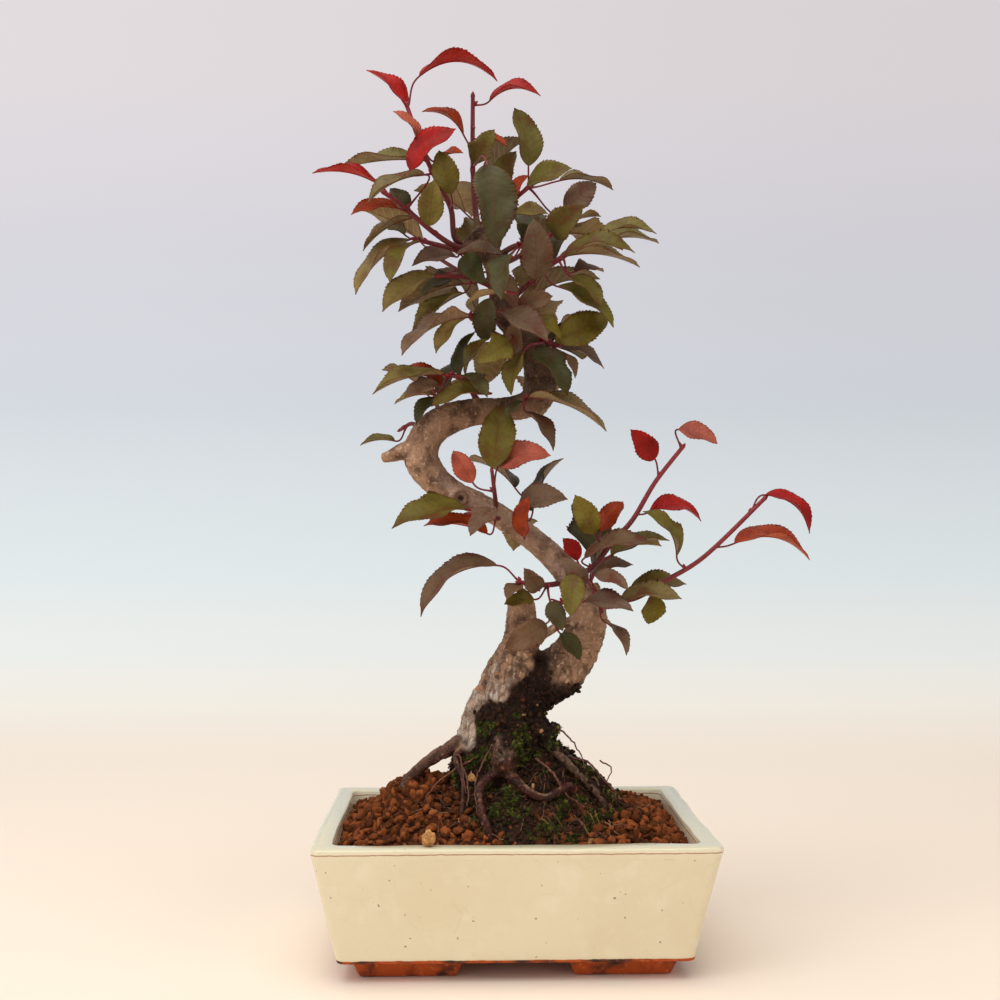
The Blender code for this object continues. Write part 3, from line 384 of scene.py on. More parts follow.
# Leaf rows are (base x, base z, tip x, tip z, depth, lean, seen width, tone, arch): the depth is
# that of the blade's base, the lean is how much deeper its tip lies, and the arch is the
# height of its bow over its length.
usualArch = 0.10
sprayPlan = {
    "shoot_top_left": {
        "twig": [(-14, 285, 0), (-23, 287, -4), (-25, 300, -8), (-31, 312, -10), (-37, 325, -10),
                 (-43, 342, -8)],
        "leaves": [
            (-43, 341, -60, 357, -8, -2, 7, "red"), (-38, 355, -6, 353, -9, 5, 5, "red", 0.21),
            (-38, 329, -49, 340, -12, -4, 5, "pink"), (-42, 316, -23, 333, -16, 2, 12, "red"),
            (-31, 320, -20, 323, -9, -6, 4, "orange"), (-37, 320, -73, 315, -14, -6, 6, "olive", 0.05),
            (-25, 306, -30, 324, -18, 0, 16, "olive")]},
    "shoot_leader": {
        "twig": [(-13, 287, 0), (-15, 299, 3), (-16, 319, 3), (-16, 346, 3)],
        "leaves": [
            (-9, 345, 12, 347, 3, -3, 7, "red", 0.2), (-20, 331, -37, 340, 1, -3, 6, "orange", 0.18),
            (-16, 319, -7, 333, -4, -4, 12, "olive"), (-14, 329, -2, 326, 0, -6, 5, "orange"),
            (-10, 318, -7, 284, -24, -4, 18, "green"), (-6, 307, 2, 324, 5, -4, 10, "olive")]},
    "spray_crown_right": {
        "twig": [(-11, 285, 0), (-5, 296, 4), (0, 303, 4), (7, 309, 4)],
        "leaves": [
            (7, 318, 1, 342, 2, -2, 12, "olive"), (7, 310, 25, 317, -2, -6, 10, "olive"),
            (-1, 303, 7, 314, -6, -4, 6, "orange"), (20, 312, 42, 308, 14, 8, 4, "beige"),
            (22, 300, 35, 311, 14, 4, 12, "mauve"), (0, 297, 15, 298, -10, -6, 7, "olive")]},
    "shoot_crown_left": {
        "twig": [(-14, 285, 0), (-22, 284, -8), (-32, 290, -14), (-45, 301, -16), (-52, 306, -16)],
        "leaves": [
            (-55, 310, -82, 314, -16, -4, 5, "red"), (-36, 314, -59, 302, -22, -6, 7, "beige"),
            (-47, 300, -66, 297, -18, -4, 7, "orange"), (-43, 299, -50, 308, -10, 4, 7, "green"),
            (-34, 293, -32, 312, -20, -6, 14, "olive"), (-41, 296, -61, 282, -10, 4, 4, "beige")]},
    "spray_upper_right": {
        "twig": [(-8, 278, 0), (0, 284, -6), (10, 287, -11), (17, 290, -13)],
        "leaves": [
            (17, 290, 30, 302, -18, -16, 17, "olive"), (18, 290, 37, 297, -10, 8, 4, "beige"),
            (-3, 280, -23, 281, -16, -4, 6, "brown"), (8, 287, 2, 294, -16, -8, 8, "green"),
            (-1, 281, -4, 262, -19, -4, 10, "green")]},
    "shoot_right": {
        "twig": [(-5, 262, 0), (0, 263, -4), (15, 276, -9), (27, 284, -9), (35, 287, -9)],
        "leaves": [
            (38, 291, 60, 290, -9, 2, 7, "olive"), (36, 286, 61, 286, -4, 8, 7, "olive"),
            (22, 280, 51, 282, -16, -2, 9, "olive", 0.17), (20, 280, 53, 276, -3, 6, 6, "beige"),
            (10, 271, 9, 296, -18, -4, 14, "brown"), (25, 272, 37, 260, -14, -5, 8, "olive"),
            (26, 274, 38, 274, 2, 8, 5, "mauve"), (19, 268, 42, 251, -10, -3, 10, "olive")]},
    "spray_left_upper": {
        "twig": [(-9, 279, 0), (-20, 282, -3), (-31, 285, -5), (-39, 287, -6)],
        "leaves": [
            (-42, 287, -64, 264, -8, -3, 8, "beige"), (-39, 286, -50, 269, -14, -5, 9, "olive"),
            (-44, 289, -54, 292, 0, 6, 5, "olive"), (-23, 280, -41, 276, -14, -6, 8, "mauve"),
            (-20, 280, -11, 269, -12, -8, 10, "green")]},
    "spray_left_mid": {
        "twig": [(-6, 268, 0), (-15, 271, -4), (-23, 272, -7), (-30, 272, -9)],
        "leaves": [
            (-32, 272, -53, 257, -10, -5, 11, "beige"), (-24, 271, -37, 264, -2, 8, 7, "green"),
            (-2, 265, -19, 260, -16, -6, 5, "beige"), (-9, 263, -11, 245, -10, -4, 11, "green"),
            (-20, 265, -42, 243, 0, 4, 6, "olive"), (-9, 273, 2, 258, -18, -4, 10, "brown")]},
    "spray_left_low": {
        "twig": [(-2, 255, 0), (-9, 256, -6), (-18, 256, -9)],
        "leaves": [
            (-18, 255, -45, 239, -13, -6, 6, "mauve"), (-19, 255, -31, 240, -5, 0, 7, "beige"),
            (-1, 245, -14, 236, -19, -8, 12, "olive")]},
    "spray_centre_right": {
        "twig": [(-3, 259, 0), (2, 260, -8), (8, 257, -12)],
        "leaves": [
            (-4, 257, 15, 245, -19, -5, 11, "mauve"), (3, 260, 17, 264, -16, -8, 11, "brown"),
            (10, 255, 20, 246, -12, -2, 6, "olive"), (4, 254, 3, 234, -18, -3, 9, "brown")]},
    "spray_right_mid": {
        "twig": [(5, 246, 0), (11, 246, -6), (18, 244, -8)],
        "leaves": [
            (18, 245, 40, 255, -10, -5, 14, "olive"), (19, 243, 38, 234, -2, 6, 7, "mauve"),
            (20, 241, 26, 230, -10, -3, 4, "brown"), (9, 242, 23, 223, -14, -5, 11, "green"),
            (18, 243, 33, 238, 3, 8, 9, "olive"), (5, 241, 0, 223, -15, -2, 7, "olive")]},
    "spray_elbow_right": {
        "twig": [(10, 225, 0), (7, 223, -9), (5, 220, -13)],
        "leaves": [
            (7, 222, 39, 208, -9, 8, 5, "beige"), (6, 216, 17, 200, -12, -3, 6, "brown"),
            (5, 220, -2, 213, -15, -5, 5, "green")]},
    "spray_elbow_left": {
        "twig": [(-12, 216, 3), (-16, 224, -5), (-20, 230, -9), (-26, 231, -11)],
        "leaves": [
            (-27, 231, -57, 223, -10, -5, 6, "olive"), (-29, 227, -46, 233, -1, 8, 7, "orange"),
            (-30, 227, -44, 222, -16, -5, 7, "mauve"), (-10, 224, -33, 218, -17, -5, 8, "olive"),
            (-32, 223, -48, 219, 2, 6, 4, "beige"), (-32, 222, -39, 211, -10, -3, 6, "green"),
            (-20, 231, -10, 222, -16, -8, 7, "green"), (-21, 231, -15, 249, -3, 3, 6, "green"),
            (-19, 232, -10, 246, -8, -3, 5, "olive")]},
    "spray_elbow_tip": {
        "twig": [(-35, 204, 2), (-40, 211, 10), (-45, 209, 14)],
        "leaves": [
            (-48, 204, -62, 202, 13, 3, 3, "olive")]},
    "shoot_front": {
        "twig": [(-6, 174, 0), (-7, 183, -12), (-8, 191, -15)],
        "leaves": [
            (-8, 193, -4, 219, -17, 2, 18, "olive"), (-5, 194, 16, 198, -13, -6, 11, "pink", 0.2),
            (-16, 187, -24, 200, -11, 2, 11, "pink")]},
    "spray_run_left": {
        "twig": [(-1, 171, 0), (-9, 173, -9), (-17, 174, -12)],
        "leaves": [
            (-19, 176, -49, 168, -13, -4, 10, "olive"), (-8, 176, -17, 165, -17, -8, 8, "mauve"),
            (-10, 166, -36, 169, -9, 5, 6, "orange")]},
    "spray_run_right": {
        "twig": [(7, 165, 0), (5, 170, -9), (4, 175, -12)],
        "leaves": [
            (3, 177, 23, 180, -12, -4, 10, "mauve", 0.22), (5, 165, 7, 181, -16, -5, 7, "orange")]},
    "shoot_long_left": {
        "twig": [(24, 147, 0), (15, 145, -10), (4, 146, -15)],
        "leaves": [
            (-6, 153, -37, 132, -17, -2, 7, "brown", 0.2), (11, 143, 5, 152, -19, -8, 10, "mauve"),
            (4, 145, -2, 139, -15, -5, 5, "brown"), (9, 139, -3, 137, -12, -3, 6, "olive"),
            (14, 129, -3, 119, -19, -5, 12, "brown")]},
    "spray_fork_front": {
        "twig": [(30, 139, 0), (25, 140, -12), (20, 137, -16)],
        "leaves": [
            (16, 138, 21, 126, -21, -5, 10, "green"), (20, 125, 28, 114, -16, -3, 7, "green"),
            (25, 149, 24, 132, -24, -7, 14, "olive"), (30, 145, 21, 156, -18, -5, 11, "mauve")]},
    "shoot_lower_right_tall": {
        "twig": [(24, 148, 0), (33, 152, -5), (41, 162, -8), (50, 172, -9), (59, 187, -9), (70, 201, -9)],
        "leaves": [
            (34, 166, 26, 182, -12, -3, 12, "olive"), (37, 167, 46, 179, 2, 5, 8, "orange"),
            (59, 197, 49, 209, -9, -6, 11, "red"), (69, 209, 85, 203, -10, -4, 8, "pink"),
            (57, 175, 78, 171, -5, 3, 6, "red", 0.21), (30, 156, 58, 162, -12, -4, 6, "brown"),
            (41, 157, 65, 163, 0, 5, 5, "olive"), (34, 149, 50, 153, 4, 5, 5, "mauve")]},
    "shoot_lower_right_long": {
        "twig": [(32, 135, 0), (43, 138, -4), (52, 140, -6), (64, 147, -7), (80, 157, -8), (104, 180, -9)],
        "leaves": [
            (105, 182, 123, 166, -9, -3, 7, "red", 0.21), (92, 162, 123, 155, -7, 3, 5, "orange", 0.19),
            (68, 157, 54, 175, -12, -4, 7, "olive", 0.18), (45, 139, 70, 139, -12, -5, 7, "beige"),
            (49, 141, 72, 145, 0, 6, 7, "olive"), (58, 141, 56, 129, -11, -14, 16, "olive")]},
    "spray_lower_right": {
        "twig": [(33, 127, 0), (37, 133, -10), (35, 141, -14)],
        "leaves": [
            (27, 155, 21, 164, -6, 2, 7, "red"), (34, 149, 48, 143, -17, -5, 6, "mauve"),
            (30, 138, 50, 134, -18, -6, 7, "mauve"), (38, 130, 47, 116, -12, -2, 5, "brown")]},
}

# Sprays on the far side follow a rule: (x, z of the start, run in x, in depth and in z, leaves).
farPlan = {
    "far_spray_low": (28, 141, 8, 24, 14, 4),
    "far_spray_run": (6, 166, 0, 24, 14, 3),
    "far_spray_elbow": (-28, 212, -4, 24, 12, 4),
    "far_spray_bend": (12, 229, -2, 24, 12, 4),
    "far_spray_mid_left": (6, 244, -22, 26, 10, 4),
    "far_spray_mid_right": (-4, 258, 20, 23, 12, 3),
    "far_spray_upper_left": (-5, 268, -26, 22, 12, 4),
    "far_spray_upper_right": (-7, 276, 22, 26, 14, 4),
    "far_spray_crown": (-12, 286, -4, 24, 26, 4),
}


def place(x, z, depth):
    seen = Vector((x * mm, 0.0, z * mm))
    share = (depth * mm - eye.y) / -eye.y
    return eye + (seen - eye) * share


def smoothRows(rows, steps):
    # Catmull-Rom through rows of numbers, steps to a span
    ends = [rows[0], *rows, rows[-1]]
    result = []
    for a, b, c, d in zip(ends, ends[1:], ends[2:], ends[3:]):
        for step in range(steps):
            t = step / steps
            result.append(tuple(
                0.5 * (2 * q + (r - p) * t + (2 * p - 5 * q + 4 * r - s) * t * t
                       + (3 * q - p - 3 * r + s) * t ** 3)
                for p, q, r, s in zip(a, b, c, d)
            ))
    result.append(rows[-1])
    return result


def trunkRows(rows, steps):
    return [(place(x, z, depth), radius * mm) for x, z, depth, radius in smoothRows(rows, steps)]


def barkDistance(spot, trunk):
    return min((spot - centre).length - radius for centre, radius in trunk)


def thinPath(spots):
    return [spots[0], *spots[1:-2:growth["twigStride"]], spots[-1]]


def splitTwig(spots, trunk):
    # The first stretch, inside and just outside the bark, is the branch collar of the trunk
    start = 1 + max(i for i, spot in enumerate(spots) if barkDistance(spot, trunk) <= growth["clearOfBark"])
    foot = spots[start]
    run = (foot - spots[0]).normalized()
    lead = foot + run * growth["twigLead"]
    return [spots[0], foot - run * 0.0003], thinPath([foot, lead, *spots[start + 2:]])


def shell(spots, radii, sides):
    # Plain rings round a path, used only to test what lies close to what
    corners, faces = [], []
    for i, (spot, radius) in enumerate(zip(spots, radii)):
        run = (spots[min(i + 1, len(spots) - 1)] - spots[max(i - 1, 0)]).normalized()
        across = run.orthogonal().normalized()
        other = run.cross(across)
        for k in range(sides):
            turn = 2 * pi * k / sides
            corners.append(spot + (across * cos(turn) + other * sin(turn)) * radius)
    for i in range(len(spots) - 1):
        for k in range(sides):
            after = (k + 1) % sides
            faces.append((i * sides + k, i * sides + after, (i + 1) * sides + after, (i + 1) * sides + k))
    return corners, faces


def midribOf(leaf):
    base, tip = leaf["base"], leaf["tip"]
    chord = tip - base
    run = chord.normalized()
    up = (leaf["up"] - run * leaf["up"].dot(run)).normalized()
    bow = (base + tip) / 2 + up * 2 * leaf["arch"] * chord.length

    def at(s):
        spot = base * (1 - s) ** 2 + bow * 2 * s * (1 - s) + tip * s * s
        way = ((bow - base) * (1 - s) + (tip - bow) * s).normalized()
        rise = (up - way * up.dot(way)).normalized()
        return spot, way, rise

    return at, up


def bladeWidth(half, s):
    return half * sin(pi * s ** 0.82) ** 0.8


def leafSheet(leaf, stalked=True):
    # The open sheet of one leaf, as coarse as in the solids: a narrow stalk, then a blade folded along
    # its midrib, with forward-pointing teeth. Gives its corners, triangles and how each corner faces.
    root, base, half = leaf["root"], leaf["base"], leaf["width"] / 2
    spine, up = midribOf(leaf)
    edge = [(0.0, growth["stalkHalf"])]
    teeth, firstTooth, reach = growth["teeth"], *growth["toothSpan"]
    for i in range(teeth):
        s = firstTooth + reach * i / (teeth - 1)
        edge.append((s, bladeWidth(half, s) * 1.04))
        if i < teeth - 1:
            edge.append((s + 0.06, bladeWidth(half, s + 0.06) * 0.82))
    ribs = growth["ribs"]
    middle = [i / ribs for i in range(ribs + 1)]
    corners, facing, faces = [], [], []
    stalk = base - root
    stalkSpots = [root] if stalked else []
    if stalked and stalk.length > growth["longStalk"]:
        stalkSpots.append(root + stalk * 0.5 - up * 0.1 * stalk.length)
    for spot in stalkSpots:
        side = stalk.cross(up).normalized() * growth["stalkHalf"]
        rise = side.cross(stalk).normalized()
        corners += [spot, spot + side, spot - side]
        facing += [rise, rise, rise]
    middleIds = []
    for s in middle:
        spot, way, rise = spine(s)
        middleIds.append(len(corners))
        corners.append(spot)
        facing.append(rise)
    sideIds = []
    for sign in (1, -1):
        ids = []
        for s, wide in edge:
            spot, way, rise = spine(s)
            out = way.cross(rise) * sign
            fold = 0.34 + 0.14 * sin(9 * s + leaf["phase"] + sign)
            spread = wide if s else growth["stalkHalf"]
            ids.append(len(corners))
            corners.append(spot + out * spread * cos(fold) + rise * spread * sin(fold) * (1 if s else 0))
            facing.append((rise * cos(fold) - out * sin(fold)).normalized() if s else rise)
        ids.append(middleIds[-1])
        sideIds.append(ids)
    rows = [(3 * i, 3 * i + 1, 3 * i + 2) for i in range(len(stalkSpots))]
    rows.append((middleIds[0], sideIds[0][0], sideIds[1][0]))
    for (m0, l0, r0), (m1, l1, r1) in zip(rows, rows[1:]):
        faces += [(m0, l0, l1), (m0, l1, m1), (m0, r1, r0), (m0, m1, r1)]
    edgeAt = [s for s, wide in edge] + [1.0]
    for sign, ids in zip((1, -1), sideIds):
        i = j = 0
        while i < len(middleIds) - 1 or j < len(ids) - 1:
            edgeNext = j < len(ids) - 1
            if edgeNext and i < len(middleIds) - 1:
                edgeNext = edgeAt[j + 1] <= middle[i + 1] + 0.04
            if edgeNext and ids[j + 1] != middleIds[i]:
                face = (middleIds[i], ids[j], ids[j + 1])
                j += 1
            elif i < len(middleIds) - 1:
                face = (middleIds[i], ids[j], middleIds[i + 1])
                i += 1
            else:
                break
            if len(set(face)) == 3:
                faces.append(face if sign > 0 else face[::-1])
    return corners, faces, facing


def thicken(sheet, half):
    # Both faces of a sheet and the band round its edge
    corners, faces, facing = sheet
    count = len(corners)
    both = [c + n * half for c, n in zip(corners, facing)] + [c - n * half for c, n in zip(corners, facing)]
    sides = {}
    for face in faces:
        for a, b in zip(face, face[1:] + face[:1]):
            sides[(a, b)] = True
    band = [(b, a, a + count, b + count) for a, b in sides if (b, a) not in sides]
    return both, list(faces) + [tuple(i + count for i in face[::-1]) for face in faces] + band


def leafWidth(length):
    return min(growth["widestLeaf"], max(growth["slimmestLeaf"], growth["leafProportion"] * length))


def seenLeaf(row, draw):
    baseX, baseZ, tipX, tipZ, depth, lean, seen, tone = row[:8]
    base = place(baseX, baseZ, depth)
    tip = place(tipX, tipZ, depth + lean)
    run = (tip - base).normalized()
    width = leafWidth((tip - base).length)
    viewer = Vector((0, -1, 0))
    front = (viewer - run * viewer.dot(run)).normalized()
    edgeOn = run.cross(front)
    if edgeOn.z < 0:
        edgeOn = -edgeOn
    turn = acos(min(1.0, max(0.15, seen * mm / width)))
    up = front * cos(turn) + edgeOn * sin(turn)
    arch = row[8] if len(row) > 8 else usualArch
    return {"base": base, "tip": tip, "up": up, "arch": arch, "width": width, "tone": tone,
            "phase": draw.uniform(0, 6)}


def ruledLeaves(spots, count, draw):
    # Leaves of a far spray: round the twig by the golden turn, longer towards its foot
    leaves = []
    run = (spots[-1] - spots[0]).normalized()
    across = run.orthogonal().normalized()
    other = run.cross(across)
    for i in range(count):
        along = 0.35 + 0.65 * i / (count - 1)
        foot = spots[int(along * (len(spots) - 1))]
        turn = i * goldenTurn + draw.uniform(-0.4, 0.4)
        out = across * cos(turn) + other * sin(turn)
        aim = (out * 0.85 + run * 0.6 + Vector((0, 0.25, 0.1))).normalized()
        base = foot + aim * growth["stalkLength"]
        length = draw.uniform(*growth["farLeafLength"])
        tip = base + (aim + Vector((0, 0, -0.3))).normalized() * length
        up = Vector((0, 0.5, 0.9)) + out * 0.3
        leaves.append({"base": base, "tip": tip, "up": up, "arch": usualArch, "width": leafWidth(length),
                       "tone": "olive" if i % 2 else "green", "phase": draw.uniform(0, 6)})
    return leaves


def rootOf(leaf, spots):
    # The stalk leaves the twig where it has about its usual length and runs on into the blade
    run = (leaf["tip"] - leaf["base"]).normalized()

    def strain(spot):
        stalk = leaf["base"] - spot
        bend = 1 - stalk.normalized().dot(run)
        return abs(stalk.length - growth["stalkLength"]) + growth["bendCost"] * bend

    steps = 6
    options = [a.lerp(b, i / steps) for a, b in zip(spots, spots[1:]) for i in range(steps)] + [spots[-1]]
    return min(options[1 + len(options) // 8:], key=strain)


def tries():
    # Small changes, mildest first, for a leaf that would come too near another stem's
    for shrink in (1.0, 0.85, 0.7):
        for roll in (0, 20, -20, 45, -45):
            for push in (0, -4, 4, -8, 8, -13):
                for lean in (0, -4, 4, -8, 8, -12, 12, -17, 17):
                    yield shrink, push, lean, radians(roll)


def deeper(spot, depth):
    # Slides a place along the line of sight
    return eye + (spot - eye) * ((spot.y + depth * mm - eye.y) / (spot.y - eye.y))


def changed(leaf, shrink, push, lean, roll):
    base = deeper(leaf["base"], push)
    tip = deeper(leaf["base"] + (leaf["tip"] - leaf["base"]) * shrink, push + lean)
    run = (tip - base).normalized()
    return {**leaf, "base": base, "tip": tip, "up": Matrix.Rotation(roll, 3, run) @ leaf["up"],
            "width": leaf["width"] * shrink}


def twigOf(rows):
    return [place(*row) for row in smoothRows(rows, 6)]


def farTwig(x, z, runX, runDepth, runZ):
    bend = (x + runX * 0.45, z + runZ * 0.3, runDepth * 0.55)
    return twigOf([(x, z, 0), bend, (x + runX, z + runZ, runDepth)])


def growSprays():
    # Sets out every stem and leaf, and turns each leaf clear of the trunk and the other stems
    draw = random.Random(seed)
    trunk = [row for rows in limbRows for row in trunkRows(rows, 4)]
    sprays = []
    for name, rule in sprayPlan.items():
        spots = twigOf(rule["twig"])
        radius = growth["shortTwig"] if len(rule["leaves"]) < 5 else growth["longTwig"]
        sprays.append({"name": name, "radius": radius, "whole": spots,
                       "leaves": [seenLeaf(row, draw) for row in rule["leaves"]]})
    for name, (*start, count) in farPlan.items():
        spots = farTwig(*start)
        sprays.append({"name": name, "radius": growth["farTwig"], "whole": spots,
                       "leaves": ruledLeaves(spots, count, draw)})
    barkTests = []
    for rows in limbRows:
        spots, radii = zip(*trunkRows(rows, 2))
        barkTests.append(BVHTree.FromPolygons(*shell(spots, [r + growth["clearance"] for r in radii], 10)))
    for spray in sprays:
        spray["collar"], spray["spots"] = splitTwig(spray["whole"], trunk)
        reach = spray["radius"] + growth["clearance"]
        spots, collar = spray["spots"], spray["collar"]
        spray["test"] = [BVHTree.FromPolygons(*shell(spots, [reach] * len(spots), 4))]
        collarReach = reach * growth["collarOverTwig"]
        barkTests.append(BVHTree.FromPolygons(*shell(collar, [collarReach] * len(collar), 4)))
    for spray in sprays:
        others = barkTests + [test for other in sprays if other is not spray for test in other["test"]]
        kept, blades = [], []
        for leaf in spray["leaves"]:
            for attempt in tries():
                option = changed(leaf, *attempt)
                option["root"] = rootOf(option, spray["spots"])
                reach = (growth["bladeThick"] + growth["clearance"]) / 2
                body = BVHTree.FromPolygons(*thicken(leafSheet(option), reach))
                blade = BVHTree.FromPolygons(*thicken(leafSheet(option, False), growth["bladeThick"]))
                near = [test for test in others if body.overlap(test)]
                if not near and not any(blade.overlap(test) for test in blades):
                    kept.append(option)
                    blades.append(blade)
                    spray["test"].append(body)
                    break
        print(spray["name"], "leaves", len(kept), "of", len(spray["leaves"]))
        spray["leaves"] = kept
    return sprays


# The trunk: its forks, roots, collars and cut stubs, skinned as one piece of live wood
bark = {"steps": 6, "sides": 22, "voxel": 0.00062, "smoothing": 0.5, "smoothSteps": 5,
        "plates": 0.00055, "scales": 0.00017, "grain": 0.00042, "soilCrust": 0.0011, "stubLength": 0.0026,
        "collarFlare": 1.5, "cutPlace": (-53.5, 197.0, 2), "cutFacing": (-0.95, -0.2, -0.1)}
# wounds as (x, z, radius, kind) in millimetres, where they look to lie on the middle plane
wounds = [
    (-20.9, 180.4, 2.7, "knot"), (-39.0, 205.0, 2.3, "scar"), (-52.8, 197.2, 2.0, "cut"),
    (0.0, 117.7, 1.3, "stub"), (5.4, 118.2, 1.2, "stub"), (8.3, 115.0, 1.2, "stub"),
    (-5.3, 107.4, 1.4, "stub"), (-12.7, 101.3, 1.3, "stub"), (4.5, 136.0, 1.7, "stub"),
    (26.0, 121.0, 1.5, "scar"),
]
rootNames = {"front_knob": 0.9, "front_root_left": 1.0, "front_root_right": 1.0, "left_root": 0.8,
             "left_rootlet": 0.9, "right_rootlet": 0.6, "right_root": 0.5, "back_root": 0.5}


def ringTube(work, spots, radii, sides):
    # rings carried along a path without twisting, closed by a domed end
    across = (spots[1] - spots[0]).orthogonal().normalized()
    rings = []
    for i, (spot, radius) in enumerate(zip(spots, radii)):
        run = (spots[min(i + 1, len(spots) - 1)] - spots[max(i - 1, 0)]).normalized()
        across = (across - run * across.dot(run)).normalized()
        other = run.cross(across)
        ways = [across * cos(turn) + other * sin(turn) for turn in (2 * pi * k / sides for k in range(sides))]
        rings.append([work.verts.new(spot + way * radius) for way in ways])
    for lower, upper in zip(rings, rings[1:]):
        for k in range(sides):
            work.faces.new((lower[k], lower[(k + 1) % sides], upper[(k + 1) % sides], upper[k]))
    for ring, spot, way, flip in ((rings[0], spots[0], spots[0] - spots[1], True),
                                  (rings[-1], spots[-1], spots[-1] - spots[-2], False)):
        reach = (ring[0].co - spot).length
        pole = work.verts.new(spot + way.normalized() * reach * 0.35)
        for k in range(sides):
            corners = (ring[k], ring[(k + 1) % sides], pole)
            work.faces.new(corners[::-1] if flip else corners)


def trunkShell(sprays):
    work = bmesh.new()
    for rows in limbRows:
        spots, radii = zip(*trunkRows(rows, bark["steps"]))
        ringTube(work, spots, radii, bark["sides"])
    for spray in sprays:
        thick = spray["radius"] * growth["collarOverTwig"]
        start, end = spray["collar"]
        along = [start.lerp(end, i / 4) for i in range(5)]
        flare = [thick * (bark["collarFlare"] - (bark["collarFlare"] - 1) * i / 4) for i in range(5)]
        ringTube(work, along, flare, 12)
    return work


def markWounds(work):
    # each wound lies where the line of sight through it first meets the wood
    test = BVHTree.FromBMesh(work)
    marks = []
    for x, z, radius, kind in wounds:
        aim = (place(x, z, 0) - eye).normalized()
        hit, normal = test.ray_cast(eye, aim)[:2]
        if hit is None:
            hit, normal = test.find_nearest(place(x, z, 0))[:2]
        if kind == "stub":
            out = (normal + Vector((-0.2, -0.3, 0.35))).normalized()
            path = [hit - out * 0.003 + out * (0.003 + bark["stubLength"]) * i / 4 for i in range(5)]
            ringTube(work, path, [radius * mm * (1.25 - 0.06 * i) for i in range(5)], 14)
            hit = path[-1]
            normal = out
        if kind == "cut":
            hit, normal = place(*bark["cutPlace"]), Vector(bark["cutFacing"]).normalized()
        marks.append((hit, normal, radius * mm, kind))
    return marks


def nearestLimb():
    # where each vertex belongs: the limb whose bark lies closest
    rows = [(spot, radius, 0.0) for spot, radius in trunkRows(trunkPath, 4)]
    for name, path in limbPaths.items():
        rows += [(spot, radius, rootNames.get(name, 0.0)) for spot, radius in trunkRows(path, 4)]
    tree = kdtree.KDTree(len(rows))
    for i, row in enumerate(rows):
        tree.insert(row[0], i)
    tree.balance()
    return rows, tree


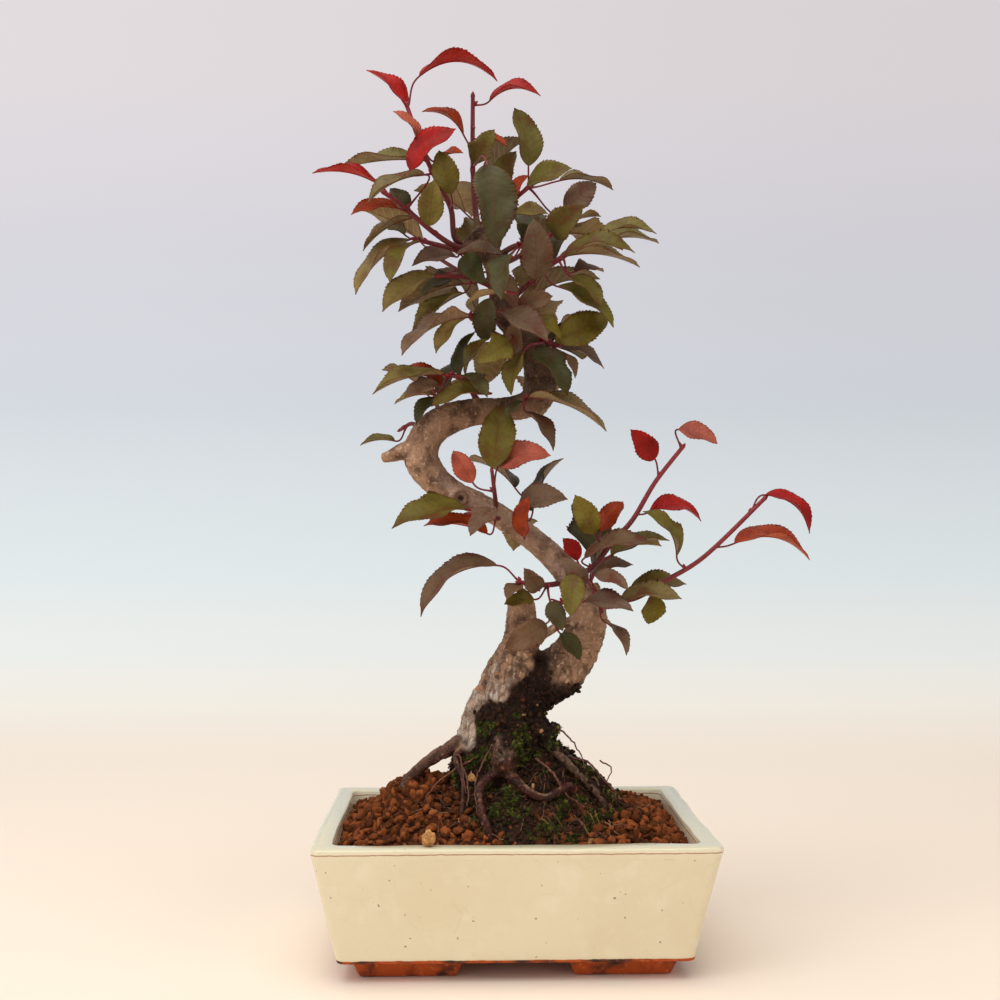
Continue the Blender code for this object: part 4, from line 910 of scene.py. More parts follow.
def carveBark(mesh, marks):
    limbs, tree = nearestLimb()
    stem = trunkRows(trunkPath[:8], 3)
    moved, rows = [], []
    for vertex in mesh.vertices:
        spot, normal = vertex.co.copy(), vertex.normal
        x, z = spot.x * 1000, spot.z * 1000
        near = [limbs[entry[1]] for entry in tree.find_n(spot, 10)]
        radius, rooty = min(near, key=lambda row: (spot - row[0]).length - row[1])[1:]
        thin = ease(radius, 0.001, 0.0045)
        low = 1 - ease(z, 112, 150)
        drift = noise.noise(spot * 130)
        aside, onward = noise.noise(spot * 260), noise.noise(spot * 260 + Vector((5, 0, 0)))
        warp = spot + Vector((aside, onward, 0)) * 0.0011
        stretched = Vector((warp.x, warp.y, warp.z * (0.28 + 0.5 * (1 - low))))
        distances = noise.voronoi(stretched * (300 + 140 * (1 - low)))[0]
        plate = min(1.0, (distances[1] - distances[0]) * 2.6)
        flake = noise.fractal(spot * 330, 0.9, 2.1, 4)
        fine = noise.turbulence(spot * 900, 3, False)
        amount = bark["plates"] * low + bark["scales"] * (1 - low)
        lift = (plate - 0.6) * amount * thin + flake * bark["grain"] * (0.4 + 0.9 * low) * thin
        lift += (fine - 0.4) * 0.00022 * thin
        # lengthwise swellings and hollows of old wood
        swell = noise.noise(Vector((spot.x * 60, spot.y * 60, spot.z * 24)))
        lift += swell * 0.0009 * ease(radius, 0.003, 0.010)
        rim = heart = cut = 0.0
        for hit, facing, size, kind in marks:
            gap = (spot - hit).length
            if gap > size * 2.6:
                continue
            if kind in ("stub", "cut"):
                bare = 1 - ease(gap, size * 0.9, size * 1.35)
                cut = max(cut, bare * ease(normal.dot(facing), 0.35, 0.75))
            else:
                ring = exp(-((gap - size) / (size * 0.3)) ** 2)
                well = 1 - ease(gap, size * 0.25, size * 0.85)
                lift += ring * size * 0.22 - well * size * (0.35 if kind == "knot" else 0.12)
                rim = max(rim, ring if kind == "knot" else 0.6 * ring)
                heart = max(heart, well if kind == "knot" else 0.45 * well)
        # roots show their own skin only where they stand clear of the stem
        clear = min((spot - core).length - size for core, size in stem) if z < 110 else 0.0
        rooty *= ease(clear, 0.0003, 0.0025) * (1 - ease(z, 78, 83) * ease(x, -8, -4))
        # soil clings to the foot, from the crotch of the fork down to the left root
        border = -19 + 0.79 * (z - 84) + 9 * drift
        soiled = ease(x - border, -1.5, 2.5) * (1 - ease(z, 115, 123)) * (1 - rooty) if spot.y < 0.004 else \
            1 - ease(z, 84, 96)
        soiled *= 1 - ease(x, 13, 19) * ease(z, 103, 108)
        lift += soiled * (noise.fractal(spot * 420, 0.7, 2.1, 3) + 0.25) * bark["soilCrust"]
        moved.append(spot + normal * lift)
        leftward = -0.85 * normal.x - 0.45 * normal.y
        pale = ease(leftward + 0.5 * drift, 0.0, 0.5) * ease(z, 74, 82) * (1 - ease(z + 22 * drift, 104, 116))
        pale *= (1 - rooty) * (1 - soiled) * (0.75 + 0.5 * flake) * (1 - ease(x, 1, 6))
        pale = max(pale, 0.5 * rooty if rooty < 0.5 else 0.0)
        # painted shade: the upper trunk under the crown is darkened; the soil at the foot joins the same dark
        # mask
        shade = ease(z, 206, 228) * 0.72 + soiled
        weathered = (1 - ease(z, 196, 208)) * ease(z, 128, 150) * ease(x, -33, -24)
        patch = noise.fractal(spot * 150 + Vector((3, 1, 0)), 0.9, 2.0, 3)
        rows.append({
            "pale": max(0.0, min(1.0, pale)), "grey": weathered * (0.7 + 0.5 * drift),
            "dark": max(0.0, min(1.0, shade)), "rooty": rooty,
            "mossy": soiled * (1 - ease(z, 88, 104)) * ease(patch, 0.02, 0.42),
            "crack": (1 - plate) * (0.35 + 0.65 * low), "rim": rim, "heart": heart, "freshCut": cut,
            "clods": soiled * (1 - ease(z, 104, 116))})
    for vertex, spot in zip(mesh.vertices, moved):
        vertex.co = spot
    for name in rows[0]:
        writeAttribute(mesh, name, [row[name] for row in rows])


def barkMaterial():
    material, tree, shader, place = newMaterial("appleBark", 0.78, 0.18)
    shade = shades(tree, place, (170, 133, 106), (92, 67, 53), (208, 176, 149), 150.0, 0.9)
    grey = shades(tree, place, (180, 148, 128), (100, 74, 60), (216, 190, 172), 130.0, 0.9)
    pale = shades(tree, place, (188, 172, 156), (110, 86, 70), (224, 214, 202), 230.0, 0.9)
    dark = shades(tree, place, (34, 21, 14), (15, 10, 7), (84, 50, 32), 260.0, 0.8)
    # painted highlight: the upward-facing tops of the roots are lightened to pale tan, in patches set by
    # noise
    facing = tree.nodes.new("ShaderNodeNewGeometry").outputs["Normal"]
    upward = addNode(tree, "ShaderNodeSeparateXYZ", Vector=facing).outputs["Z"]
    highlightPatches = noiseAt(tree, place, 160.0, 2.0)
    rootHighlight = times(tree, remap(tree, upward, 0.45, 0.9), remap(tree, highlightPatches, 0.42, 0.6))
    root = shades(tree, place, (66, 27, 21), (30, 13, 11), (140, 86, 66), 150.0, 0.75)
    root = blend(tree, times(tree, rootHighlight, 0.5), root, colour(172, 132, 100))
    shade = blend(tree, attribute(tree, "grey"), shade, grey)
    shade = blend(tree, attribute(tree, "pale"), shade, pale)
    shade = blend(tree, attribute(tree, "rooty"), shade, root)
    # the dark mask: painted shade on the upper trunk under the crown, and the soil at the foot
    shade = blend(tree, attribute(tree, "dark"), shade, dark)
    # orange pores and dark cracks
    pores = cellsAt(tree, place, 620.0, "F1")
    rare = remap(tree, addNode(tree, "ShaderNodeSeparateColor", Color=pores["Color"]).outputs[0], 0.9, 0.92)
    pore = times(tree, remap(tree, pores["Distance"], 0.34, 0.20), rare)
    shade = blend(tree, times(tree, pore, 0.55), shade, colour(166, 104, 66))
    crack = remap(tree, attribute(tree, "crack"), 0.55, 1.0)
    shade = blend(tree, times(tree, crack, 0.62), shade, colour(44, 30, 23))
    moss = shades(tree, place, (62, 70, 30), (34, 32, 17), (112, 122, 52), 300.0, 0.9)
    shade = blend(tree, remap(tree, attribute(tree, "mossy"), 0.2, 0.6, 0.0, 0.85), shade, moss)
    shade = blend(tree, attribute(tree, "rim"), shade, colour(128, 92, 70))
    shade = blend(tree, attribute(tree, "heart"), shade, colour(74, 52, 42))
    wood = shades(tree, place, (176, 124, 86), (122, 76, 50), (206, 176, 140), 700.0, 0.7)
    shade = blend(tree, attribute(tree, "freshCut"), shade, wood)
    scale = cellsAt(tree, place, 700.0, "DISTANCE_TO_EDGE")
    edge = remap(tree, scale["Distance"], 0.0, 0.12)
    wire(tree, shader, Base_Color=shade,
         Roughness=remap(tree, attribute(tree, "rooty"), 0.0, 1.0, 0.82, 0.42),
         Normal=bumps(tree, place, 800.0, 0.65, 0.00038, edge))
    return material


def makeTrunk(sprays):
    work = trunkShell(sprays)
    marks = markWounds(work)
    piece = linkMesh("barkedTrunk", meshFrom("barkedTrunk", work))
    remesh = piece.modifiers.new("liveWood", "REMESH")
    remesh.mode = "VOXEL"
    remesh.voxel_size = bark["voxel"]
    smooth = piece.modifiers.new("softened", "SMOOTH")
    smooth.factor = bark["smoothing"]
    smooth.iterations = bark["smoothSteps"]
    bakePiece(piece)
    carveBark(piece.data, marks)
    smoothFaces(piece.data)
    paintMesh(piece.data, barkMaterial())
    mossBed = piece.data.copy()
    finishPiece(piece, "bark", "trunk")
    return mossBed


sprays = growSprays()
trunkSkin = makeTrunk(sprays)
print("trunk barked")


# Leafy shoots: Geometry Nodes fold, tooth and thicken each blade along its midrib
leafCut = {"toothPitch": 0.0016, "thickness": 0.00028, "toothOut": 0.065, "notchIn": 0.03,
           "toothForward": 0.8, "stalkRadius": 0.00043, "ribRadius": 0.00021, "budLength": 0.0022,
           "budRadius": 0.0007, "lobe": 0.26, "columns": (-1.0, -0.82, -0.42, 0.0, 0.42, 0.82, 1.0)}
# for each tone its tint, how much it may flush red, and how much paler its underside is
leafTones = {
    "red": ((164, 20, 12), 0.0, 0.06), "orange": ((160, 58, 20), 0.5, 0.12),
    "pink": ((178, 90, 70), 0.15, 0.25), "olive": ((110, 99, 26), 0.35, 0.42),
    "green": ((58, 62, 26), 0.12, 0.42), "beige": ((132, 114, 62), 0.3, 0.42),
    "mauve": ((120, 92, 72), 0.55, 0.42), "brown": ((110, 84, 60), 0.5, 0.42)}


class Chains:
    # edge chains with an attribute row at every point, ready for the node tree
    numbers = ("half", "tooth", "along", "phase", "blush", "thick", "blade", "paling")
    names = {**dict.fromkeys(("spine", "sideways", "rising", "way", "tint"), "FLOAT_VECTOR"),
             **dict.fromkeys(numbers, "FLOAT")}

    def __init__(self):
        self.spots, self.edges, self.rows = [], [], []

    def add(self, rows):
        first = len(self.spots)
        for row in rows:
            self.spots.append(row["spine"])
            self.rows.append({name: row.get(name, (0.0, 0.0, 0.0) if "VECTOR" in kind else 0.0)
                              for name, kind in self.names.items()})
        self.edges += [(first + i, first + i + 1) for i in range(len(rows) - 1)]

    def piece(self, name):
        mesh = bpy.data.meshes.new(name)
        mesh.from_pydata([tuple(spot) for spot in self.spots], self.edges, [])
        for key, kind in self.names.items():
            writeAttribute(mesh, key, [row[key] for row in self.rows], kind)
        return linkMesh(name, mesh)


def tintOf(tone, draw, strength=0.16):
    dull = draw.uniform(0.0, 0.0 if tone in ("red", "orange", "pink") else 0.4)
    base = [a + (b - a) * dull for a, b in zip(colour(*leafTones[tone][0])[:3], colour(98, 84, 62)[:3])]
    lift = 1 + draw.uniform(-strength, strength)
    warm = draw.uniform(-0.06, 0.06)
    return (base[0] * lift * (1 + warm), base[1] * lift, base[2] * lift * (1 - warm))


def bladeRows(leaf, draw):
    at = midribOf(leaf)[0]
    teeth = max(7, min(20, round((leaf["tip"] - leaf["base"]).length / leafCut["toothPitch"])))
    # some summer leaves are faintly lobed below the middle
    lobe = leafCut["lobe"] if leaf["tone"] in ("olive", "green", "mauve") and draw.random() < 0.3 else 0.0
    half = leaf["width"] / 2
    tint = tintOf(leaf["tone"], draw)
    flush, paling = leafTones[leaf["tone"]][1:]
    blush = flush * draw.uniform(0.4, 1.5)
    places = [(0.0, 0.0), (0.018, 0.0), (0.045, 0.0)]
    for i in range(teeth):
        start, pitch = 0.07 + 0.86 * i / teeth, 0.86 / teeth
        grown = leafCut["toothOut"] * (0.85 + 0.35 * sin(i * 2.3 + leaf["phase"] * 5))
        peak = 0.80 + 0.12 * sin(i * 3.7 + leaf["phase"] * 3)
        places += [(start, -leafCut["notchIn"]), (start + 0.45 * pitch, grown * 0.45),
                   (start + peak * pitch, grown)]
    places += [(0.935, -leafCut["notchIn"]), (0.962, 0.0), (0.985, 0.0), (1.0, 0.0)]
    rows = []
    for s, tooth in places:
        spot, way, rise = at(s)
        wide = bladeWidth(half, min(s, 0.999))
        wide *= 1 + lobe * (exp(-((s - 0.34) / 0.09) ** 2) - 0.7 * exp(-((s - 0.56) / 0.10) ** 2))
        if s > 0.9:  # drawn out to a fine point
            wide = max(wide * (1 - 0.35 * ease(s, 0.9, 0.97)), 0.0)
        rows.append({"spine": spot, "sideways": way.cross(rise), "rising": rise, "way": way, "tint": tint,
                     "half": max(wide, 0.00012), "tooth": tooth * (0.5 + 0.5 * sin(pi * s)), "along": s,
                     "phase": leaf["phase"], "blush": blush, "blade": 1.0, "paling": paling})
    return rows


def rodRows(path, radii, tint, blush=0.0):
    return [{"spine": spot, "thick": radius, "tint": tint, "along": i / (len(path) - 1), "blush": blush}
            for i, (spot, radius) in enumerate(zip(path, radii))]


def stalkPath(leaf, root):
    # the leaf stalk leaves the stem, sags a little and runs on into the midrib
    base, way = midribOf(leaf)[0](0.0)[:2]
    reach = (base - root).length
    pull = base - way * reach * 0.45
    swing = root.lerp(base, 0.4) + Vector((0, 0, -0.06)) * reach
    return [root * (1 - t) ** 3 + swing * 3 * t * (1 - t) ** 2 + pull * 3 * t * t * (1 - t) + base * t ** 3
            for t in (i / 10 for i in range(11))]


def sprayChains(spray, draw):
    chains = Chains()
    whole = spray["whole"]
    first = whole.index(spray["spots"][0])
    run = (whole[first] - spray["collar"][0]).normalized()
    stem = [whole[first] - run * 0.0016, *whole[first:]]
    woody = colour(88, 38, 37)[:3]
    young = colour(144, 42, 50)[:3]
    radii = [spray["radius"] * (1.15 - 0.35 * i / (len(stem) - 1)) for i in range(len(stem))]
    tip, heading = stem[-1], (stem[-1] - stem[-2]).normalized()
    stem += [tip + heading * step * mm for step in (0.8, 1.6, 2.4, 2.9)]
    radii += [spray["radius"] * share for share in (0.9, 0.78, 0.4, 0.08)]
    rows = rodRows(stem, radii, woody)
    for row in rows:
        row["tint"] = tuple(a + (b - a) * row["along"] for a, b in zip(woody, young))
        row["blush"] = 0.5
    chains.add(rows)
    for leaf in spray["leaves"]:
        root = min(whole[first:], key=lambda spot: (spot - leaf["root"]).length)
        root = root.lerp(leaf["root"], 0.4)
        path = stalkPath(leaf, root)
        thick = [leafCut["stalkRadius"] * (1.5 - 0.6 * min(1.0, i / 3)) for i in range(11)]
        stalkTint = colour(122, 32, 40)[:3]
        chains.add(rodRows(path, thick, stalkTint, 0.6))
        at = midribOf(leaf)[0]
        ribSpots, ribRadii = [], []
        for i in range(12):
            s = 0.9 * i / 11
            spot, rise = at(s)[::2]
            ribSpots.append(spot - rise * 0.00012)
            ribRadii.append(leafCut["ribRadius"] * (1.12 - 0.95 * s))
        rows = rodRows(ribSpots, ribRadii, stalkTint, 0.3)
        blade = [1.5 * number for number in colour(*leafTones[leaf["tone"]][0])[:3]]
        for row in rows:  # red at the stalk, the blade's own colour farther out
            share = ease(row["along"], 0.1, 0.7)
            row["tint"] = tuple(a + (b - a) * share for a, b in zip(stalkTint, blade))
        chains.add(rows)
        # a bud in the angle between stalk and stem
        aim = ((path[3] - root).normalized() + Vector((0, 0, 0.8))).normalized()
        bud = [root + aim * (spray["radius"] * 0.6 + leafCut["budLength"] * i / 4) for i in range(5)]
        chains.add(rodRows(bud, [leafCut["budRadius"] * k for k in (0.5, 1.0, 0.95, 0.6, 0.12)], young, 0.2))
    for leaf in spray["leaves"]:
        chains.add(bladeRows(leaf, draw))
    return chains


def rodPart(tree, geometry, sides, material):
    curve = geo(tree, "MeshToCurve", Mesh=geometry)
    sized = geo(tree, "SetCurveRadius", Curve=curve, Radius=named(tree, "thick"))
    ring = geo(tree, "CurvePrimitiveCircle", Resolution=sides, Radius=1.0)
    rod = addNode(tree, "GeometryNodeCurveToMesh", Curve=sized, Profile_Curve=ring, Fill_Caps=True)
    if "Scale" in rod.inputs:
        tree.links.new(named(tree, "thick"), rod.inputs["Scale"])
        tree.links.new(curve, rod.inputs["Curve"])
    return paintPart(tree, rod.outputs[0], material)


# Blades and rods of one spray from its chains of points
def leafTree(top, under, stem):
    tree, given, ending = geometryTree("leafySpray", {
        "Blade thickness": leafCut["thickness"], "Fold": 0.34, "Fold change": 0.14, "Wave": 9.0,
        "Tooth forward": leafCut["toothForward"], "Stem sides": 7,
        "Upper": top, "Under": under, "Stem": stem})
    isBlade = addNode(tree, "FunctionNodeCompare", {"data_type": "FLOAT", "operation": "GREATER_THAN"},
                      i0=named(tree, "blade"), i1=0.5).outputs[0]
    parted = addNode(tree, "GeometryNodeSeparateGeometry", {"domain": "POINT"},
                     Geometry=given["Geometry"], Selection=isBlade).outputs
    rods = rodPart(tree, parted[1], given["Stem sides"], given["Stem"])
    # the cross-section: a line of points that carries how far across the blade each lies
    columns = leafCut["columns"]
    line = geo(tree, "MeshLine", {"mode": "OFFSET", "count_mode": "TOTAL"},
               Count=len(columns), Start_Location=(0.0, 0.0, 0.0), Offset=(0.001, 0.0, 0.0))
    index = geo(tree, "InputIndex")
    step = calc(tree, "DIVIDE", calc(tree, "SUBTRACT", index, 3.0), 3.0)
    # points crowd towards the edge
    bent = times(tree, calc(tree, "SIGN", step), calc(tree, "POWER", calc(tree, "ABSOLUTE", step), 0.75))
    carried = storeNamed(tree, line, "across", bent)
    profile = geo(tree, "MeshToCurve", Mesh=carried)
    ribs = geo(tree, "MeshToCurve", Mesh=parted[0])
    sheet = geo(tree, "CurveToMesh", Curve=ribs, Profile_Curve=profile)
    across = named(tree, "across")
    side = calc(tree, "SIGN", across)
    span = calc(tree, "ABSOLUTE", across)
    edge = calc(tree, "GREATER_THAN", span, 0.99)
    wave = timesPlus(tree, named(tree, "along"), given["Wave"], named(tree, "phase"))
    swing = calc(tree, "SINE", calc(tree, "ADD", wave, side))
    fold = timesPlus(tree, swing, given["Fold change"], given["Fold"])
    tooth = times(tree, named(tree, "tooth"), edge)
    reach = times(tree, span, named(tree, "half"))
    reach = times(tree, reach, calc(tree, "ADD", tooth, 1.0))
    outward = times(tree, times(tree, side, reach), calc(tree, "COSINE", fold))
    upward = times(tree, reach, calc(tree, "SINE", fold))
    onward = times(tree, times(tree, tooth, named(tree, "half")), given["Tooth forward"])
    spot = named(tree, "spine", "FLOAT_VECTOR")
    for name, amount in (("sideways", outward), ("rising", upward), ("way", onward)):
        move = vecCalc(tree, "SCALE", named(tree, name, "FLOAT_VECTOR"), scale=amount)
        spot = vecCalc(tree, "ADD", spot, move)
    laid = geo(tree, "SetPosition", Geometry=sheet, Position=spot)
    raised = addNode(tree, "GeometryNodeExtrudeMesh", {"mode": "FACES"}, Mesh=laid,
                     Offset=named(tree, "rising", "FLOAT_VECTOR"), Offset_Scale=given["Blade thickness"],
                     Individual=False)
    upper = paintPart(tree, raised.outputs["Mesh"], given["Upper"])
    turned = geo(tree, "FlipFaces", Mesh=laid)
    both = joinParts(tree, (upper, paintPart(tree, turned, given["Under"])))
    closed = geo(tree, "MergeByDistance", Geometry=both, Distance=1e-7)
    tree.links.new(realPart(tree, smoothPart(tree, joinParts(tree, (closed, rods)))), ending)
    return tree


def makeVeins():
    # midrib, side veins that run forward to the margin, and the net between them
    tree, given, result = shaderGroup(
        "leafVeins", {"Place": (0.0, 0.0, 0.0), "Along": 0.5, "Across": 0.0, "Pairs": 9.0},
        {"Veins": "Float", "Midrib": "Float", "Relief": "Float", "Edge": "Float"})
    span = calc(tree, "ABSOLUTE", given["Across"])
    drift = noiseAt(tree, given["Place"], 380.0, 2.0)
    lean = timesPlus(tree, calc(tree, "POWER", span, 1.3), -0.17, given["Along"])
    lean = timesPlus(tree, drift, 0.035, lean)
    beat = calc(tree, "FRACT", times(tree, lean, given["Pairs"]))
    away = calc(tree, "ABSOLUTE", calc(tree, "SUBTRACT", beat, 0.5))
    vein = times(tree, remap(tree, away, 0.10, 0.03), remap(tree, span, 0.97, 0.75))
    midrib = remap(tree, span, 0.042, 0.012)
    net = cellsAt(tree, given["Place"], 950.0, "DISTANCE_TO_EDGE")
    mesh = times(tree, remap(tree, net["Distance"], 0.20, 0.04), 0.2)
    pillow = times(tree, remap(tree, away, 0.0, 0.4), 0.8)
    relief = calc(tree, "SUBTRACT", pillow, calc(tree, "MAXIMUM", midrib, times(tree, mesh, 0.5)))
    edge = remap(tree, span, 0.86, 1.0)
    for name, value in (("Veins", calc(tree, "MAXIMUM", vein, mesh)), ("Midrib", midrib),
                        ("Relief", relief), ("Edge", edge)):
        feed(tree, result[name], value)
    return tree


def leafMaterial(name, upper, veins):
    material, tree, shader, place = newMaterial(name, 0.5, 0.14 if upper else 0.08)
    lines = useGroup(tree, veins, Place=place, Along=attribute(tree, "along"),
                     Across=attribute(tree, "across"))
    tint = attribute(tree, "tint", "Color")
    broad = noiseAt(tree, place, 130.0, 3.0)
    fine = noiseAt(tree, place, 700.0, 2.0)
    if upper:
        dull = remap(tree, broad, 0.35, 0.72, 0.0, 0.55)
        shade = blend(tree, dull, tint, colour(150, 132, 120), "MULTIPLY")
        shade = blend(tree, remap(tree, fine, 0.45, 0.75, 0.0, 0.3), shade, colour(206, 200, 190), "MULTIPLY")
        flush = times(tree, attribute(tree, "blush"), remap(tree, broad, 0.50, 0.72))
        flush = calc(tree, "MAXIMUM", flush, times(tree, lines["Edge"], 0.4))
        shade = blend(tree, flush, shade, colour(112, 38, 26))
        shade = blend(tree, times(tree, lines["Veins"], 0.18), shade, colour(56, 30, 24))
        shade = blend(tree, times(tree, lines["Midrib"], 0.5), shade, colour(100, 40, 32))
        depth, strength = 0.00026, 0.28
    else:
        # red blades glow with the light that comes through them
        glow = blend(tree, remap(tree, attribute(tree, "paling"), 0.2, 0.05, 0.0, 0.3), tint, tint, "ADD")
        pale = blend(tree, attribute(tree, "paling"), glow, colour(170, 142, 112))
        shade = blend(tree, remap(tree, broad, 0.4, 0.7, 0.0, 0.6), pale, colour(196, 176, 166), "MULTIPLY")
        veined = blend(tree, attribute(tree, "paling"), pale, colour(214, 186, 150))
        shade = blend(tree, times(tree, lines["Veins"], 0.5), shade, veined)
        shade = blend(tree, times(tree, lines["Edge"], 0.3), shade, colour(112, 38, 30))
        depth, strength = 0.00018, 0.45
    height = times(tree, lines["Relief"], 1.0 if upper else -1.0)
    height = timesPlus(tree, fine, 0.25 if upper else 0.12, height)
    bump = addNode(tree, "ShaderNodeBump", Strength=strength, Distance=depth, Height=height).outputs[0]
    rough = remap(tree, fine, 0.3, 0.7, 0.42, 0.56) if upper else remap(tree, fine, 0.3, 0.7, 0.55, 0.7)
    wire(tree, shader, Base_Color=shade, Normal=bump, Roughness=rough)
    return material


def stemMaterial():
    material, tree, shader, place = newMaterial("redStem", 0.45, 0.3)
    tint = attribute(tree, "tint", "Color")
    fine = noiseAt(tree, place, 700.0, 4.0)
    shade = blend(tree, remap(tree, fine, 0.4, 0.75, 0.0, 0.45), tint, colour(78, 32, 33))
    pores = cellsAt(tree, place, 800.0, "F1")["Distance"]
    shade = blend(tree, remap(tree, pores, 0.20, 0.10, 0.0, 0.35), shade, colour(196, 150, 120))
    wire(tree, shader, Base_Color=shade, Normal=bumps(tree, place, 900.0, 0.4, 0.0002))
    return material


def makeLeafySprays(sprays):
    veins = makeVeins()
    top, under = leafMaterial("leafTop", True, veins), leafMaterial("leafUnder", False, veins)
    stem = stemMaterial()
    tree = leafTree(top, under, stem)
    slots = {part["node"]: part["material_slot"] for part in frame["record"]["subparts"]}
    draw = random.Random(seed + 1)
    for spray in sprays:
        piece = sprayChains(spray, draw).piece("leaves_" + spray["name"])
        runTree(piece, tree, {"Upper": top, "Under": under, "Stem": stem})
        work = bmesh.new()
        work.from_mesh(piece.data)
        bmesh.ops.recalc_face_normals(work, faces=work.faces)
        work.to_mesh(piece.data)
        work.free()
        finishPiece(piece, slots[spray["name"]], spray["name"])


makeLeafySprays(sprays)
print("leaves grown")


# The pot: ivory glaze on stoneware, bare clay at the foot
pot = {"rim": (0.1525, 0.114), "base": (0.1335, 0.0955), "rimHeight": 0.0515, "footHeight": 0.0073,
       "wall": 0.0075, "floor": 0.006, "corner": 0.0035, "lip": 0.0017, "footTop": (0.0445, 0.016),
       "footBottom": (0.0365, 0.010), "footCentre": (0.0405, 0.0345), "drainRadius": 0.006, "drainX": 0.030,
       "bareTop": 0.0086, "softEdge": 0.0006, "wobble": 0.0006, "rimWobble": 0.0005}


def block(name, bottom, top, low, high, corner, lip=0.0, segments=6):
    work = bmesh.new()
    bmesh.ops.create_cube(work, size=1.0)
    for vertex in work.verts:
        size, level = (top, high) if vertex.co.z > 0 else (bottom, low)
        vertex.co = Vector((vertex.co.x * size[0], vertex.co.y * size[1], level))
    upright = [edge for edge in work.edges if abs(edge.verts[0].co.z - edge.verts[1].co.z) > 1e-4]
    bmesh.ops.bevel(work, geom=upright, offset=corner, segments=segments, profile=0.5, affect="EDGES")
    if lip:
        crest = [edge for edge in work.edges if all(abs(v.co.z - high) < 1e-6 for v in edge.verts)]
        bmesh.ops.bevel(work, geom=crest, offset=lip, segments=3, profile=0.5, affect="EDGES")
    return linkMesh(name, meshFrom(name, work))


def boolean(piece, other, operation):
    modifier = piece.modifiers.new(operation, "BOOLEAN")
    modifier.operation = operation
    modifier.object = other
    modifier.solver = "EXACT"
    bakePiece(piece)
    bpy.data.objects.remove(other)


def innerSize(level):
    share = (level - pot["footHeight"]) / (pot["rimHeight"] - pot["footHeight"])
    return tuple(low + (high - low) * share - 2 * pot["wall"] for low, high in zip(pot["base"], pot["rim"]))


# pits as (cells to a metre, share of cells left whole, spread of size, strength)
glazePits = ((520.0, 0.90, 0.22, 0.7), (300.0, 0.955, 0.11, 0.7), (130.0, 0.98, 0.04, 0.75))


def glazeMaterial():
    material, tree, shader, place = newMaterial("ivoryGlaze", 0.24)
    at = addNode(tree, "ShaderNodeSeparateXYZ", Vector=place).outputs
    # the glaze is thin and brown where it breaks over the lip, and stops above the bare foot
    drift = noiseAt(tree, place, 260.0, 4.0)
    shifted = timesPlus(tree, drift, 0.0007, at["Z"])
    bare = remap(tree, shifted, pot["bareTop"] + 0.0006, pot["bareTop"] + 0.0002)
    # one thin brown line under the lip, and a fainter one that comes and goes below it
    patchy = noiseAt(tree, place, 120.0, 3.0)
    lipLine = 0.0
    for below, strength, rare in ((0.0020, 0.85, (0.22, 0.42)), (0.0043, 0.16, (0.56, 0.66))):
        away = calc(tree, "ABSOLUTE", calc(tree, "SUBTRACT", shifted, pot["rimHeight"] + 0.00035 - below))
        line = times(tree, remap(tree, away, 0.00030, 0.00012), remap(tree, patchy, *rare))
        lipLine = calc(tree, "MAXIMUM", lipLine, times(tree, line, strength))
    glaze = shades(tree, place, (225, 214, 183), (218, 204, 170), (231, 222, 196), 26.0, 0.5)
    onRim = remap(tree, at["Z"], pot["rimHeight"] - 0.0013, pot["rimHeight"] - 0.0002)
    glaze = blend(tree, times(tree, onRim, 0.85), glaze, colour(210, 203, 170))
    stir = noiseAt(tree, place, 900.0, 2.0, "Color")
    stirred = vecCalc(tree, "ADD", place, vecCalc(tree, "SCALE", stir, scale=0.0012))
    for scale, share, size, strength in glazePits:
        pits = cellsAt(tree, stirred, scale, "F1")
        pick = addNode(tree, "ShaderNodeSeparateColor", Color=pits["Color"]).outputs
        wide = timesPlus(tree, pick[1], size, 0.03)
        pit = calc(tree, "LESS_THAN", pits["Distance"], wide)
        pit = times(tree, pit, calc(tree, "GREATER_THAN", pick[0], share))
        glaze = blend(tree, times(tree, pit, strength), glaze, colour(112, 84, 58))
    craze = cellsAt(tree, place, 120.0, "DISTANCE_TO_EDGE")
    line = times(tree, remap(tree, craze["Distance"], 0.012, 0.003), 0.10)
    glaze = blend(tree, line, glaze, colour(170, 146, 104))
    glaze = blend(tree, lipLine, glaze, colour(150, 92, 58))
    clay = shades(tree, place, (174, 73, 14), (38, 24, 18), (192, 98, 42), 110.0, 0.95)
    wire(tree, shader, Base_Color=blend(tree, bare, glaze, clay),
         Roughness=remap(tree, bare, 0.0, 1.0, 0.24, 0.85),
         Coat_Weight=remap(tree, bare, 0.0, 1.0, 0.35, 0.0),
         Normal=bumps(tree, place, 130.0, 0.25, 0.0006))
    return material


